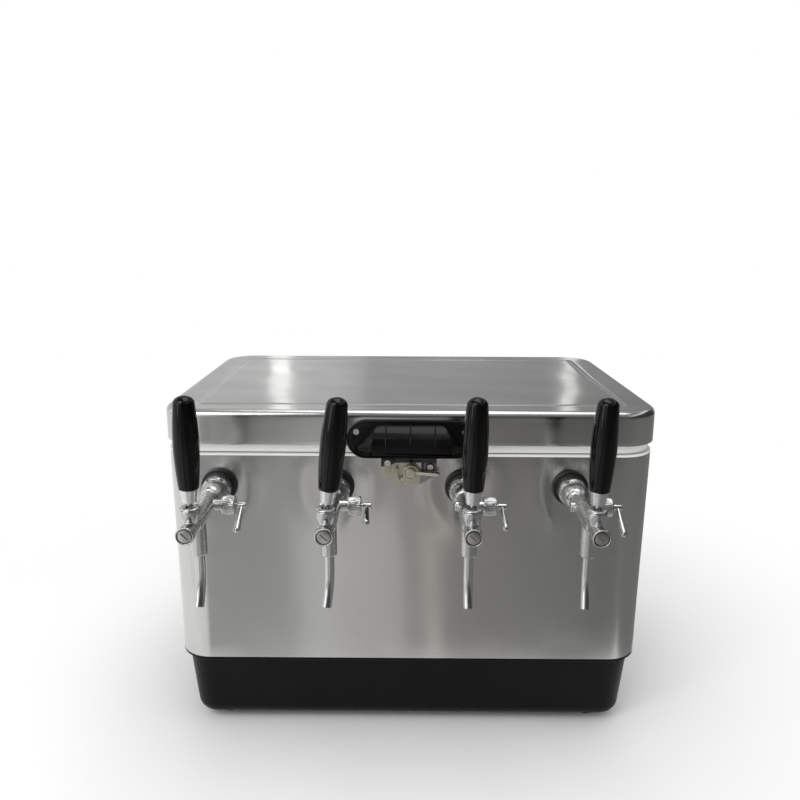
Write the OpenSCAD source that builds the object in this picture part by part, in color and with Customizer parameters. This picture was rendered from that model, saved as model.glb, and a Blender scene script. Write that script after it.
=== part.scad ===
// Four-tap draught beer cooler box: an insulated chest with a steel wrap, a cold plate inside
// and four ball-lever taps on its front wall.
// Millimetres. +Z is up, the taps stand out towards -Y, and the origin is the centre of the
// base's underside. Every outline of the chest is stated as an inset from the lid's edge.

/* [Chest] */
// Width of the lid, side to side
lid_w = 617; // [510:1:760]
// Depth of the lid, front to back
lid_d = 420; // [350:1:520]
// Height of the black base below the steel wrap
base_h = 98; // [70:1:120]
// Height of the steel wrap
wrap_h = 276; // [230:1:340]
// Height of the lid's steel skirt, with its rounded top edge
skirt_h = 43; // [34:1:60]
// Plan corner radius of the lid
corner_r = 48; // [44:1:60]
// Inset of the wrap's top from the lid's edge
wrap_inset = 2; // [1:0.5:4]
// How far a wall leans in from the wrap's top to its bottom
wall_taper = 3; // [1:0.5:5]
// Height of the rubber feet
foot_h = 8; // [5:1:14]

/* [Shells] */
// Thickness of the steel sheets
sheet_t = 0.8; // [0.6:0.1:1.5]
// Thickness of the moulded plastic shells
shell_t = 3.5; // [2.5:0.5:5]
// Thickness of the foam in the walls
foam_t = 32; // [24:1:40]
// Height of the ice tub's floor above the base's underside
tub_floor = 104; // [60:1:140]
// Radius of the rounded edge round the base's underside
base_edge_r = 20; // [12:1:24]
// How far the base stands in under the wrap
base_inset = 8; // [4:1:12]
// Radius of the rounded edge round the lid's top
lid_edge_r = 8; // [4:1:12]
// Inset of the pressed channel in the lid's top
channel_inset = 36; // [26:1:38]
// Height of the gap that the seal closes between lid and tub
seal_gap = 1.5; // [1:0.1:3]
// Height of the white band between the lid's skirt and the gap
band_h = 10; // [6:1:16]

/* [Taps] */
// Height of the tap axes at the wall
tap_z = 335; // [300:1:350]
// From the left end of the flat front to the first tap
tap_edge_left = 24.5; // [24:0.5:60]
// From the right end of the flat front to the fourth tap
tap_edge_right = 62.5; // [24:0.5:80]
// Place of the second tap, left of the middle
tap_inner_left = 91; // [60:1:110]
// Place of the third tap, right of the middle
tap_inner_right = 65; // [50:1:80]
// Radius of the threaded shank through the wall
shank_r = 11; // [9:0.5:12]
// Radius of the tap's barrel
barrel_r = 10.3; // [9:0.1:11]
// From the wall to the lever's ball
lever_out = 133; // [125:1:150]
// Height of the lever's ball above the tap axis
ball_h = 16.5; // [15:0.5:18]
// Radius of the lever's ball
ball_r = 6; // [5:0.5:6.5]
// Radius of the plunger
plunger_r = 6; // [5.5:0.5:6.5]
// From the wall to the spout
spout_out = 105; // [98:1:108]
// Outer radius of the spout tube
spout_r = 5.5; // [4.5:0.5:6]
// From the wall to the flow control's spindle
flow_out = 67; // [56:1:72]
// Radius of the flow control's spindle
spindle_r = 2.5; // [2:0.25:3]
// Length of the black handle above its metal ferrule
grip_h = 101; // [80:1:130]
// Widest radius of the black handle
grip_r = 13.75; // [11:0.25:17]

/* [Beer lines and cold plate] */
// Outer radius of the beer hoses
hose_r = 4.75; // [4:0.25:6]
// Inner radius of the beer hoses
hose_bore_r = 3.2; // [2.5:0.1:4]
// Bend radius of the beer hoses
hose_bend_r = 28; // [20:1:36]
// Thickness of the cold plate
plate_t = 28; // [20:1:40]
// Depth of the cold plate, front to back
plate_d = 224; // [210:1:250]
// Height of the beer inlets on the rear wall
inlet_z = 300; // [260:1:330]
// From one beer inlet to the next
inlet_pitch = 100; // [50:1:110]
// Radius of an inlet's outer thread
inlet_thread_r = 5.55; // [4:0.05:8]

/* [Fittings] */
// Distance of each hinge from the middle
hinge_x = 170; // [120:1:200]
// Width of a hinge
hinge_w = 50; // [40:1:60]
// Radius of a hinge pin
hinge_pin_r = 2.5; // [2:0.25:3]
// Half the length of the lid handle
handle_half_w = 78; // [70:1:90]
// Height of the latch's spindle
latch_z = 354.6; // [350:0.1:358]
// Height of the carrying handles' pivots
bail_z = 300; // [240:1:320]
// Half the width of a carrying handle's bail
bail_half_w = 56; // [48:1:70]
// Radius of the bail's rod
bail_r = 3; // [2.5:0.25:4]
// Radius of the drain's bore
drain_r = 8; // [6:0.5:10]

/* [Hidden] */

$fn = 64;
steel = "lightgray";
chrome = [0.80, 0.81, 0.83];
black = [0.06, 0.06, 0.065];
white = [0.90, 0.90, 0.88];
foam_colour = [0.93, 0.86, 0.62];
clear_hose = [0.82, 0.86, 0.88];

// Clearances
cut = 1;                  // how far a cutting shape runs past what it cuts
seat_gap = 0.05;          // between faces that are clamped together
slip = 0.2;               // between parts that are assembled but don't move
run = 0.05;               // radial clearance of a running fit
play = 0.3;               // between bodies that move past each other

// Heights of the chest's seams
wrap_top = base_h + wrap_h;
rim_t = 2.5;
rim_top = wrap_top + rim_t;
liner_bottom = rim_top + seal_gap;
skirt_bottom = liner_bottom + band_h;
lid_top = skirt_bottom + skirt_h;
draft = atan(wall_taper / wrap_h);

// Inset of the wrap's outer face from the lid's edge at height z
function wrap_in(z) = wrap_inset + wall_taper * (wrap_top - z) / wrap_h;

// Points of an arc that runs round an edge: from straight down (0) to straight out (90 degrees)
function edge_arc(inset, z, r, steps = 6) =
    [for (i = [0 : steps]) [inset - r * sin(90 * i / steps), z - r * cos(90 * i / steps)]];

// Outer points of the base, from its underside to the top of the flange inside the wrap
tuck_h = 20;
lip_in = wrap_in(base_h);
lip_t = 3;
base_in = lip_in + base_inset;
base_foot_in = base_in + 7;
base_flat_in = base_foot_in + base_edge_r;
cove_z = base_h - lip_t - base_inset;
tuck_top = base_h + tuck_h;
tuck_gap = sheet_t + slip;
base_outside = concat(
    edge_arc(base_flat_in, base_edge_r, base_edge_r),
    [for (i = [0 : 5])
        [base_in - base_inset * (1 - cos(18 * i)), cove_z + base_inset * sin(18 * i)]],
    [[lip_in, base_h], [lip_in + tuck_gap, base_h], [wrap_in(tuck_top) + tuck_gap, tuck_top]]
);
base_inside = concat(
    edge_arc(base_flat_in, base_edge_r, base_edge_r - shell_t),
    [[base_in + shell_t, cove_z], [lip_in + tuck_gap + shell_t, base_h - lip_t],
     [lip_in + tuck_gap + shell_t, tuck_top]]
);

// Walls of the ice tub are parallel to the wrap
tub_t = 3;
tub_wall = foam_t + tub_t;
function tub_side(z) = wrap_in(z) + foam_t;
function mouth_in(z) = wrap_in(z) + tub_wall;

// Taps: place along the front, sideways lean of each handle, how far each flow lever is swung
// forwards from hanging straight down, and turn of each spout
flat_half = lid_w / 2 - corner_r;
tap_x = [-(flat_half - tap_edge_left), -tap_inner_left, tap_inner_right,
         flat_half - tap_edge_right];
handle_lean = [0, 6.5, 1.2, 2];
flow_rest = [62, 80, 70, 57];
spout_turn = [-8, -18, 0, -10];
taps = [0 : 3];

// Stations along a tap, as distances out of the wall
shank_in = tub_wall + 27;
tail_len = 18;
tail_r = hose_bore_r - play;
flange_r = 22;
flange_t = 9.2;
nut_r = 17.5;
nut_end = 24;
tail_flange_r = shank_r + 3;
tail_flange_a = 18.2;
tail_flange_b = 21.7;
dome_r = 15.5;
chamber_r = 7;
seat_a = spout_out - 9;
seat_b = spout_out - 6;
seat_r = 4.2;
boss_r = 8.75;
boss_drop = 43.5;
spout_grip = 15;
spout_bend_r = 90;
spout_bend = 28;
spout_straight = 61;
neck_r = plunger_r + 2;
barrel_end = lever_out - 5;
neck_end = lever_out + 17;
bowl_top = 21;
bowl_foot_r = 8.3;
bowl_top_r = 11.2;
spigot_r = 9.5;
collar_top = ball_h + 7.5;
socket_r = ball_r + play;
finger_r = 1.6;
finger_ball_r = 2.4;
finger_play = 0.45;
stem_r = 2.6;
ferrule_z = ball_h + 11.5;
ferrule_h = 15.6;
ferrule_foot_r = 7.4;
ferrule_top_r = 9.6;
stud_r = 4;
grip_foot_r = 10.9;
grip_neck_r = 11.25;
lever_tilt = 30;
cap_len = 10;
cap_r = 10;
plug_r = 7.6;
flow_neck_r = 6.5;
flow_neck_x = 26;
bonnet_a = 19;
bonnet_b = 34;
bonnet_r = 11;
hub_a = 36;
hub_b = 46;
hub_r = 3.5;
arm_len = 34;
arm_tip_r = 3.6;
disc_t = 1.6;
dome_back = 25.5;
dome_a = 28;
dome_b = 32;
dome_depth = 16;
bowl_foot = 5;
nut_slot_w = 5;
nut_slot_deep = 2;

// Cold plate and its ports
plate_w = 2 * (flat_half - tap_edge_left) + 22;
plate_z = tub_floor + seat_gap;
plate_top = plate_z + plate_t;
port_h = 6;
hose_foot_z = plate_top + port_h + 0.3;
hose_start = shank_in + 0.5;
hose_run = 22;
port_y = lid_d / 2 - wrap_in(tap_z) - hose_start - hose_run - hose_bend_r;
inlet_x = [for (i = [0 : 3]) (i - 1.5) * inlet_pitch];
inlet_y = lid_d / 2 - wrap_in(inlet_z) - hose_start - hose_run - hose_bend_r;
inlet_r = 8;

// Lid: pressed channel, white band with the skin's hem, and the plug and seal under it
channel_w = 6;
channel_t = 1.2;
band_in = 6;
hem_in = band_in - slip;
band_top = skirt_bottom + 8;
plug_gap = 4;             // room for the plug to swing out of the tub's mouth
plug_depth = 12;
plug_in = mouth_in(rim_top) + plug_gap;
plug_lean = 1.5;
plug_low = liner_bottom - plug_depth;
liner_floor = liner_bottom + tub_t;
gasket_in = 13;
gasket_w = 10;
groove_top = liner_bottom + 2;

// Hinge line behind the lid
knuckle_r = 4.5;
leaf_t = 1.5;
leaf_gap = 0.1;
hinge_y = lid_d / 2 - wrap_inset + leaf_gap + knuckle_r;
hinge_z = rim_top + 5.5;
knuckle_count = 5;
body_leaf_drop = 30;
leaf_screw_x = hinge_w / 2 - 11;
leaf_screw_z = wrap_top - 18;
leaf_seat = wrap_in(leaf_screw_z) - wrap_inset + leaf_gap + leaf_t + 2 * seat_gap;
lid_leaf_y = lid_d / 2 + leaf_gap - hinge_y;
lid_leaf_h = 34;
lid_leaf_screw_z = skirt_bottom + 18;

// Latch
latch_x = 1;
latch_t = 1.5;
latch_screw_at = [[23.6, 6.4], [-29, 11.8]];
latch_pivot_r = 4;
strike_y = lid_d / 2 + slip;
strike_t = 2;
strike_left = -36.8;
strike_right = 31.4;
strike_low = 12.4;
strike_high = 30.8;
strike_r = 2;
strike_rise = 13.4;
hub_disc_r = 10;
hub_boss_r = 6;
hook_r = strike_rise + strike_r + 0.8;
hook_w = 3.5;
hook_t = 2.4;
wing_len = 31;
wing_out = 8.2;
wing_t = 3.6;

// Lid handle, whose plate hangs below the skirt
handle_t = 3.5;
handle_low = rim_top - 4;
handle_high = skirt_bottom + 32.3;
hood_wall = 2.5;
hood_out = 21;
hood_edge_r = 4.5;
handle_screw_x = handle_half_w - 12;
handle_screw_z = handle_high - 13.5;

drain_z = tub_floor + 16;
drain_body_r = drain_r + 3;
bail_out = 9;
bail_drop = 62;
bail_bend = 10;
bail_hook = 6;
bail_pin_end = 18;
bracket_x = bail_half_w + bail_hook + 7;
bracket_screw_z = 13;
bracket_half_w = 8;
bracket_half_h = 18;
foot_r = 21;
foot_in = base_flat_in + foot_r + 1;
bracket_eye_w = 10;
bracket_eye_r = 5.5;
bail_grip_r = 6.4;
grip_ring_r = 7.4;
grip_ring_pitch = 11;
drain_flange_w = 4;
drain_end = 18;
drain_cap_end = 22;
nut_t = 8;
washer_t = 2;
washer_w = 3;
clamp_w = 7;
clamp_t = 0.9;
clamp_lug = 4.2;
screw_r = 1.9;
screw_len = 12;
head_r = 3.6;
head_t = 2.2;
head_slot_w = 0.9;
head_slot_deep = 1.1;

// Bowl under a lever's ball: a cup that swells upwards
bowl = concat([[0, 3]],
    [for (i = [0 : 6]) [bowl_foot_r + (bowl_top_r - bowl_foot_r) * sin(90 * i / 6),
                        bowl_foot + (bowl_top - bowl_foot - 3) * i / 6]],
    [[bowl_top_r, bowl_top], [0, bowl_top]]);

// ---------------------------------------------------------------- shared shapes

// Carry a wall section round the chest: straight along its four sides and turned at its four
// corners. section is a closed outline of [inset, z] points; floor_z fills in the middle.
module chest_part(section, floor_z = []) {
    x = lid_w / 2 - corner_r;
    y = lid_d / 2 - corner_r;
    for (turn = [0, 180]) rotate([0, 0, turn]) {
        translate([0, y, 0]) rotate([90, 0, 0]) linear_extrude(2 * y)
            polygon([for (p = section) [lid_w / 2 - p[0], p[1]]]);
        translate([-x, 0, 0]) rotate([90, 0, 90]) linear_extrude(2 * x)
            polygon([for (p = section) [lid_d / 2 - p[0], p[1]]]);
        translate([x, y, 0]) corner(section);
        translate([-x, y, 0]) rotate([0, 0, 90]) corner(section);
    }
    if (len(floor_z) == 2)
        translate([-x, -y, floor_z[0]]) cube([2 * x, 2 * y, floor_z[1] - floor_z[0]]);
}
module corner(section) {
    rotate_extrude(angle = 90, $fn = 96) polygon([for (p = section) [corner_r - p[0], p[1]]]);
}
function backwards(points) = [for (i = [len(points) - 1 : -1 : 0]) points[i]];

// Stand on a wall: -Y points straight out of it and +Z up it. turn 0 is the front.
module on_wall(turn, half, u, z) {
    rotate([0, 0, turn]) translate([u, wrap_in(z) - half, z]) rotate([draft, 0, 0]) children();
}
module on_front(x, z) { on_wall(0, lid_d / 2, x, z) children(); }
module on_back(x, z) { on_wall(180, lid_d / 2, -x, z) children(); }
module on_side(s, z) { on_wall(90 * s, lid_w / 2, 0, z) children(); }
module at_tap(k) { on_front(tap_x[k], tap_z) children(); }

// Round bar along the outward direction, between two distances from the wall
module out_bar(a, b, r) { translate([0, -a, 0]) rotate([90, 0, 0]) cylinder(h = b - a, r = r); }
// Turned shape about the outward direction: points are [radius, distance out]
module out_turned(points) { rotate([90, 0, 0]) rotate_extrude() polygon(points); }
// Round bar along X
module cross_bar(a, b, r) { translate([a, 0, 0]) rotate([0, 90, 0]) cylinder(h = b - a, r = r); }
// Hexagonal bar along the outward direction, stated by its width across flats
module out_hex(a, b, flats) {
    translate([0, -a, 0]) rotate([90, 0, 0]) cylinder(h = b - a, d = flats / cos(30), $fn = 6);
}

// Pan-head screw whose head sits seat off the wall
module screw(seat) {
    difference() {
        union() {
            out_bar(seat, seat + head_t, head_r);
            out_bar(seat - screw_len, seat + head_t / 2, screw_r);
        }
        for (a = [0, 90]) rotate([0, a, 0])
            translate([-2.2, -(seat + head_t + cut), -head_slot_w / 2])
                cube([4.4, cut + head_slot_deep, head_slot_w]);
    }
}
module screw_hole(seat) { out_bar(-screw_len, seat + cut, screw_r + 0.1); }

// Every screw in the chest's walls: latch and brackets, then the hinges
module wall_screw_places() {
    for (p = latch_screw_at) on_front(latch_x + p[0], latch_z + p[1]) children();
    for (s = [-1, 1], e = [-1, 1], v = [-1, 1])
        on_side(s, bail_z) translate([e * bracket_x, 0, v * bracket_screw_z]) children();
}
module hinge_screw_places() {
    for (s = [-1, 1], u = [-1, 1])
        on_back(s * hinge_x + u * leaf_screw_x, leaf_screw_z) children();
}
module drain_bore() { on_side(1, drain_z) out_bar(-shank_in, cut, drain_body_r + slip); }

// Bores through the chest's walls
module wall_bores() {
    for (k = taps) at_tap(k) out_bar(-shank_in, cut, shank_r + slip);
    for (x = inlet_x) on_back(x, inlet_z) out_bar(-shank_in, cut, inlet_r + slip);
    drain_bore();
    wall_screw_places() screw_hole(latch_t);
    hinge_screw_places() screw_hole(latch_t);
}

// ---------------------------------------------------------------- chest

module base_shell() {
    color(black) difference() {
        chest_part(concat([[corner_r, 0]], base_outside, backwards(base_inside),
                          [[corner_r, shell_t]]), [0, shell_t]);
        foot_places() translate([0, 0, -cut]) cylinder(h = shell_t + 2 * cut, r = screw_r + 0.1);
        drain_bore();
    }
}

module foot_places() {
    for (sx = [-1, 1], sy = [-1, 1])
        translate([sx * (lid_w / 2 - foot_in), sy * (lid_d / 2 - foot_in), 0]) children();
}

module feet() {
    color(black) foot_places() difference() {
        rotate_extrude() polygon([[0, -seat_gap], [0, -foot_h], [foot_r - 3, -foot_h],
                                  [foot_r - 1, 1.5 - foot_h], [foot_r, -seat_gap]]);
        translate([0, 0, -foot_h - cut]) cylinder(h = foot_h * 0.55 + cut, r = head_r + 1);
        translate([0, 0, -foot_h]) cylinder(h = foot_h + cut, r = screw_r + 0.1);
    }
}

module foot_screw() {
    seat = -foot_h * 0.45 - seat_gap;
    translate([0, 0, seat - head_t]) cylinder(h = head_t, r = head_r);
    translate([0, 0, seat - cut]) cylinder(h = cut - seat + shell_t - 0.3, r = screw_r);
}

module steel_wrap() {
    color(steel) difference() {
        chest_part([[wrap_in(base_h), base_h + seat_gap], [wrap_inset, wrap_top - seat_gap],
                    [wrap_inset + sheet_t, wrap_top - seat_gap],
                    [wrap_in(base_h) + sheet_t, base_h + seat_gap]]);
        wall_bores();
    }
}

module tub_liner() {
    color(white) difference() {
        chest_part([[corner_r, tub_floor - tub_t], [tub_side(tub_floor - tub_t), tub_floor - tub_t],
                    [tub_side(wrap_top), wrap_top], [wrap_inset, wrap_top],
                    [wrap_inset, rim_top], [mouth_in(rim_top), rim_top],
                    [mouth_in(tub_floor), tub_floor], [corner_r, tub_floor]],
                   [tub_floor - tub_t, tub_floor]);
        wall_bores();
    }
}

module body_foam() {
    outside = concat([for (p = base_inside) if (p[1] < tuck_top) [p[0] + slip, p[1] + slip]],
        [[lip_in + tuck_gap + shell_t + slip, tuck_top + slip],
         [wrap_in(tuck_top) + sheet_t + slip, tuck_top + slip],
         [wrap_in(wrap_top) + sheet_t + slip, wrap_top - seat_gap]]);
    low = shell_t + slip;
    high = tub_floor - tub_t - slip;
    color(foam_colour) difference() {
        chest_part(concat([[corner_r, low]], outside,
                          [[tub_side(wrap_top) - slip, wrap_top - seat_gap],
                           [tub_side(high) - slip, high], [corner_r, high]]), [low, high]);
        wall_bores();
    }
}

// ---------------------------------------------------------------- cold plate and beer lines

module port_places() {
    for (k = taps) translate([tap_x[k], -port_y, 0]) children();
    for (x = inlet_x) translate([x, inlet_y, 0]) children();
}

module cold_plate() {
    color(chrome) difference() {
        translate([-plate_w / 2, -plate_d / 2, plate_z]) cube([plate_w, plate_d, plate_t]);
        port_places() translate([0, 0, plate_top - 8]) cylinder(h = 8 + cut, r = 4);
    }
}

module plate_barbs() {
    color(chrome) port_places() difference() {
        union() {
            translate([0, 0, plate_top + seat_gap])
                cylinder(h = port_h - seat_gap, d = 14 / cos(30), $fn = 6);
            translate([0, 0, plate_top - 7]) cylinder(h = 8, r = 3.9);
            translate([0, 0, plate_top]) cylinder(h = port_h + tail_len, r = tail_r);
        }
        translate([0, 0, plate_top - 8]) cylinder(h = port_h + tail_len + 9, r = tail_r - 1);
    }
}

// A hose from a wall fitting down to its port, drawn with the wall towards +Y
module hose(top_z, foot_y) {
    difference() {
        hose_path(top_z, foot_y, hose_r, 0);
        hose_path(top_z, foot_y, hose_bore_r, cut);
    }
}
module hose_path(top_z, foot_y, r, extra) {
    bend_y = foot_y + hose_bend_r;
    translate([0, bend_y, top_z]) rotate([-90, 0, 0]) cylinder(h = hose_run + extra, r = r);
    translate([0, bend_y, top_z - hose_bend_r]) rotate([90, 0, -90])
        rotate_extrude(angle = 90) translate([hose_bend_r, 0]) rotate(90) circle(r = r);
    translate([0, foot_y, hose_foot_z - extra])
        cylinder(h = top_z - hose_bend_r - hose_foot_z + extra, r = r);
}

tap_hose_z = tap_z + (hose_start + tail_len / 2) * sin(draft);
inlet_hose_z = inlet_z + (hose_start + tail_len / 2) * sin(draft);

module outlet_lines() {
    color(clear_hose) for (k = taps)
        translate([tap_x[k], 0, 0]) rotate([0, 0, 180]) hose(tap_hose_z, port_y);
}
module inlet_lines() {
    color(clear_hose) for (x = inlet_x) translate([x, 0, 0]) hose(inlet_hose_z, inlet_y);
}

module clamp() {
    difference() {
        union() {
            cylinder(h = clamp_w, r = hose_r + clamp_t);
            translate([hose_r, -2.5, 0]) cube([clamp_lug, 5, clamp_w]);
        }
        translate([0, 0, -cut]) cylinder(h = clamp_w + 2 * cut, r = hose_r + run);
    }
}
module hose_clamps() {
    color(chrome) {
        port_places() translate([0, 0, hose_foot_z + 5]) clamp();
        for (k = taps) translate([tap_x[k], -port_y - hose_bend_r - hose_run + 6, tap_hose_z])
            rotate([-90, 0, 0]) clamp();
        for (x = inlet_x)
            translate([x, inlet_y + hose_bend_r + hose_run - 6, inlet_hose_z])
                rotate([90, 0, 0]) clamp();
    }
}

module inlet_fittings() {
    color(chrome) for (x = inlet_x) on_back(x, inlet_z) difference() {
        union() {
            out_bar(-shank_in, 1, inlet_r);
            out_hex(seat_gap, 6, 24);
            out_bar(5, 20, inlet_thread_r);
            out_bar(-shank_in - tail_len, -shank_in + 1, tail_r);
        }
        out_bar(-shank_in - tail_len - cut, 20 + cut, tail_r - 0.9);
    }
}

module lock_nut(bore, flats) {
    difference() {
        union() {
            out_bar(-tub_wall - washer_t, -tub_wall - seat_gap, flats / 2 + washer_w);
            out_hex(-tub_wall - washer_t - nut_t, -tub_wall - washer_t, flats);
        }
        out_bar(-tub_wall - washer_t - nut_t - cut, -tub_wall + cut, bore + run);
    }
}
module inlet_lock_nuts() {
    color(chrome) for (x = inlet_x) on_back(x, inlet_z) lock_nut(inlet_r, 24);
}
module shank_lock_nuts() {
    color(chrome) for (k = taps) at_tap(k) lock_nut(shank_r, 30);
}

// ---------------------------------------------------------------- taps

module shanks() {
    color(chrome) for (k = taps) at_tap(k) difference() {
        union() {
            out_bar(-shank_in, tail_flange_a - seat_gap, shank_r);
            out_bar(-shank_in - tail_len, -shank_in + 1, tail_r);
        }
        out_bar(-shank_in - tail_len - cut, -shank_in + 3, tail_r - 0.9);
        out_bar(-shank_in + 2, tail_flange_a + cut, 4);
    }
}

module wall_flanges() {
    step = flange_t * 0.55;
    color(black) for (k = taps) at_tap(k) difference() {
        out_turned([[0, seat_gap], [flange_r, seat_gap], [flange_r, step - 1],
                    [flange_r - 1, step], [flange_r - 3.5, step],
                    [flange_r - 3.5, flange_t - 1], [flange_r - 4.5, flange_t], [0, flange_t]]);
        out_bar(-cut, flange_t + cut, shank_r + run);
    }
}

module coupling_nuts() {
    back = flange_t + seat_gap;
    chamber = tail_flange_r + slip;
    color(chrome) for (k = taps) at_tap(k) difference() {
        out_turned([[0, back], [nut_r - 1, back], [nut_r, back + 1], [nut_r, nut_end - 3],
                    [nut_r - 0.8, nut_end - 2], [nut_r - 0.8, nut_end - 0.8],
                    [nut_r - 1.6, nut_end], [0, nut_end]]);
        out_bar(back - cut, tail_flange_a + cut, shank_r + run);
        out_bar(tail_flange_a - seat_gap, tail_flange_b + seat_gap, chamber);
        out_bar(tail_flange_b - cut, nut_end + cut, tail_flange_r - 2.3);
        for (a = [0 : 60 : 300]) rotate([0, a, 0])
            translate([-nut_slot_w / 2, -(nut_end - 5), nut_r - nut_slot_deep])
                cube([nut_slot_w, 11, nut_slot_deep + cut]);
    }
}

module finger_way() {
    // Room for the lever's finger between rest and its full pull
    reach = (ball_h - 3) * tan(lever_tilt) + finger_r + 1;
    rotate([90, 0, 90]) translate([0, 0, -3.9]) linear_extrude(7.8)
        polygon([[-finger_r - 0.7, 3], [reach, 3], [finger_r + 2.4, ball_h - 2],
                 [-finger_r - 0.7, ball_h - 2]]);
}

module faucet_bodies() {
    color(chrome) for (k = taps) at_tap(k) difference() {
        union() {
            out_bar(tail_flange_a, tail_flange_b, tail_flange_r);
            out_bar(tail_flange_b - 1, dome_a, tail_flange_r - 2.5);
            out_turned(concat([[0, dome_back], [dome_r - 2.3, dome_back], [dome_r, dome_a],
                               [dome_r, dome_b]],
                [for (i = [1 : 5]) [barrel_r + (dome_r - barrel_r) * cos(18 * i),
                                    dome_b + dome_depth * sin(18 * i)]],
                [[0, dome_b + dome_depth]]));
            out_bar(dome_b + dome_depth - 2, barrel_end, barrel_r);
            out_bar(barrel_end - 2, neck_end, neck_r);
            translate([0, -spout_out, -boss_drop]) cylinder(h = boss_drop, r = boss_r);
            translate([0, -lever_out, 0]) rotate_extrude() polygon(bowl);
            translate([0, -flow_out, 0]) {
                cross_bar(0, flow_neck_x, flow_neck_r);
                cross_bar(-14, 0, 6);
            }
        }
        out_bar(tail_flange_a - cut, seat_a, chamber_r);
        out_bar(seat_a - cut, seat_b + cut, seat_r);
        out_bar(seat_b, neck_end + cut, plunger_r + run);
        translate([0, -spout_out, -boss_drop + spout_grip - cut])
            cylinder(h = boss_drop - spout_grip + cut, r = spout_r - 1);
        translate([0, -spout_out, -boss_drop - cut])
            cylinder(h = spout_grip + cut, r = spout_r + run);
        translate([0, -lever_out, 0]) {
            translate([0, 0, ball_h]) sphere(r = socket_r);
            translate([0, 0, ball_h]) cylinder(h = bowl_top - ball_h + cut, r = socket_r);
            translate([0, 0, bowl_top - 2.6]) cylinder(h = 2.6 + cut, r = spigot_r + 0.1);
            finger_way();
        }
        translate([0, -flow_out, 0]) cross_bar(-10, flow_neck_x + cut, spindle_r + run);
    }
}

module collar_nuts() {
    foot = bowl_top - 2.5;
    color(chrome) for (k = taps) at_tap(k) translate([0, -lever_out, 0]) difference() {
        rotate_extrude() polygon([[0, foot], [spigot_r, foot], [spigot_r, bowl_top + 0.4],
            [bowl_top_r, bowl_top + 0.4], [bowl_top_r, collar_top - 2],
            [bowl_top_r - 0.6, collar_top - 1.2], [bowl_top_r - 1.6, collar_top - 0.5],
            [bowl_top_r - 3.2, collar_top], [0, collar_top]]);
        translate([0, 0, ball_h]) sphere(r = socket_r);
        translate([-4, -8, ball_h + 2]) cube([8, 11.4, 10]);
    }
}

module front_caps() {
    back = neck_end + seat_gap;
    end = neck_end + cap_len;
    color(chrome) for (k = taps) at_tap(k) difference() {
        out_turned([[0, neck_end - 2.5], [plunger_r - 0.1, neck_end - 2.5],
                    [plunger_r - 0.1, back], [cap_r - 0.8, back], [cap_r, back + 0.8],
                    [cap_r, end - 1], [cap_r - 0.3, end - 0.3], [cap_r - 1, end], [0, end]]);
        out_bar(end - 4, end + cut, plug_r + 0.5);
    }
}

module cap_plugs() {
    end = neck_end + cap_len - 0.4;
    color(chrome) for (k = taps) at_tap(k) difference() {
        out_turned([[0, end - 3.5], [plug_r, end - 3.5], [plug_r, end - 0.6],
                    [plug_r - 0.6, end], [0, end]]);
        rotate([0, 42, 0]) translate([-5.4, -end - cut, -0.8]) cube([10.8, cut + 1.2, 1.6]);
    }
}

module flow_bonnets() {
    color(chrome) for (k = taps) at_tap(k) translate([0, -flow_out, 0]) difference() {
        union() {
            cross_bar(bonnet_a, bonnet_b, bonnet_r - 0.6);
            cross_bar(bonnet_a + 1, bonnet_b - 1, bonnet_r);
        }
        cross_bar(bonnet_a - cut, flow_neck_x + seat_gap, flow_neck_r + run);
        cross_bar(flow_neck_x - cut, bonnet_b + cut, spindle_r + play);
    }
}

// Spout: straight out of its boss, then a long bend forwards
module spout_tubes() {
    bore = spout_r - 1;
    top = -boss_drop + spout_grip - 0.2;
    color(chrome) for (k = taps) at_tap(k) translate([0, -spout_out, 0])
        rotate([0, 0, spout_turn[k]]) {
            translate([0, 0, -spout_straight]) difference() {
                cylinder(h = spout_straight + top, r = spout_r);
                translate([0, 0, -cut]) cylinder(h = spout_straight + top + 2 * cut, r = bore);
            }
            translate([0, -spout_bend_r, -spout_straight]) mirror([0, 0, 1])
                rotate([90, 0, 90]) rotate_extrude(angle = spout_bend, $fn = 96)
                    translate([spout_bend_r, 0]) difference() {
                        circle(r = spout_r);
                        circle(r = bore);
                    }
        }
}

// Stand at a tap's ball, leaning sideways with its handle
module at_ball(k) {
    at_tap(k) translate([0, -lever_out, ball_h]) rotate([0, handle_lean[k], 0]) children();
}

module tap_lever(k) {
    foot = ferrule_z - ball_h;
    top = foot + ferrule_h;
    color(chrome) at_ball(k) {
        sphere(r = ball_r);
        translate([0, 0, -ball_h]) cylinder(h = ball_h, r = finger_r);
        translate([0, 0, -ball_h]) sphere(r = finger_ball_r);
        cylinder(h = foot + 1, r = stem_r);
        difference() {
            rotate_extrude() polygon([[0, foot], [ferrule_foot_r - 1, foot],
                [ferrule_foot_r, foot + 1], [ferrule_top_r, top - 0.5],
                [ferrule_top_r - 0.4, top], [0, top]]);
            translate([0, 0, top - 2.6]) cylinder(h = 2.6 + cut, r = ferrule_top_r - 0.8);
        }
        translate([0, 0, top - 4]) cylinder(h = 22, r = stud_r);
    }
}

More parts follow.
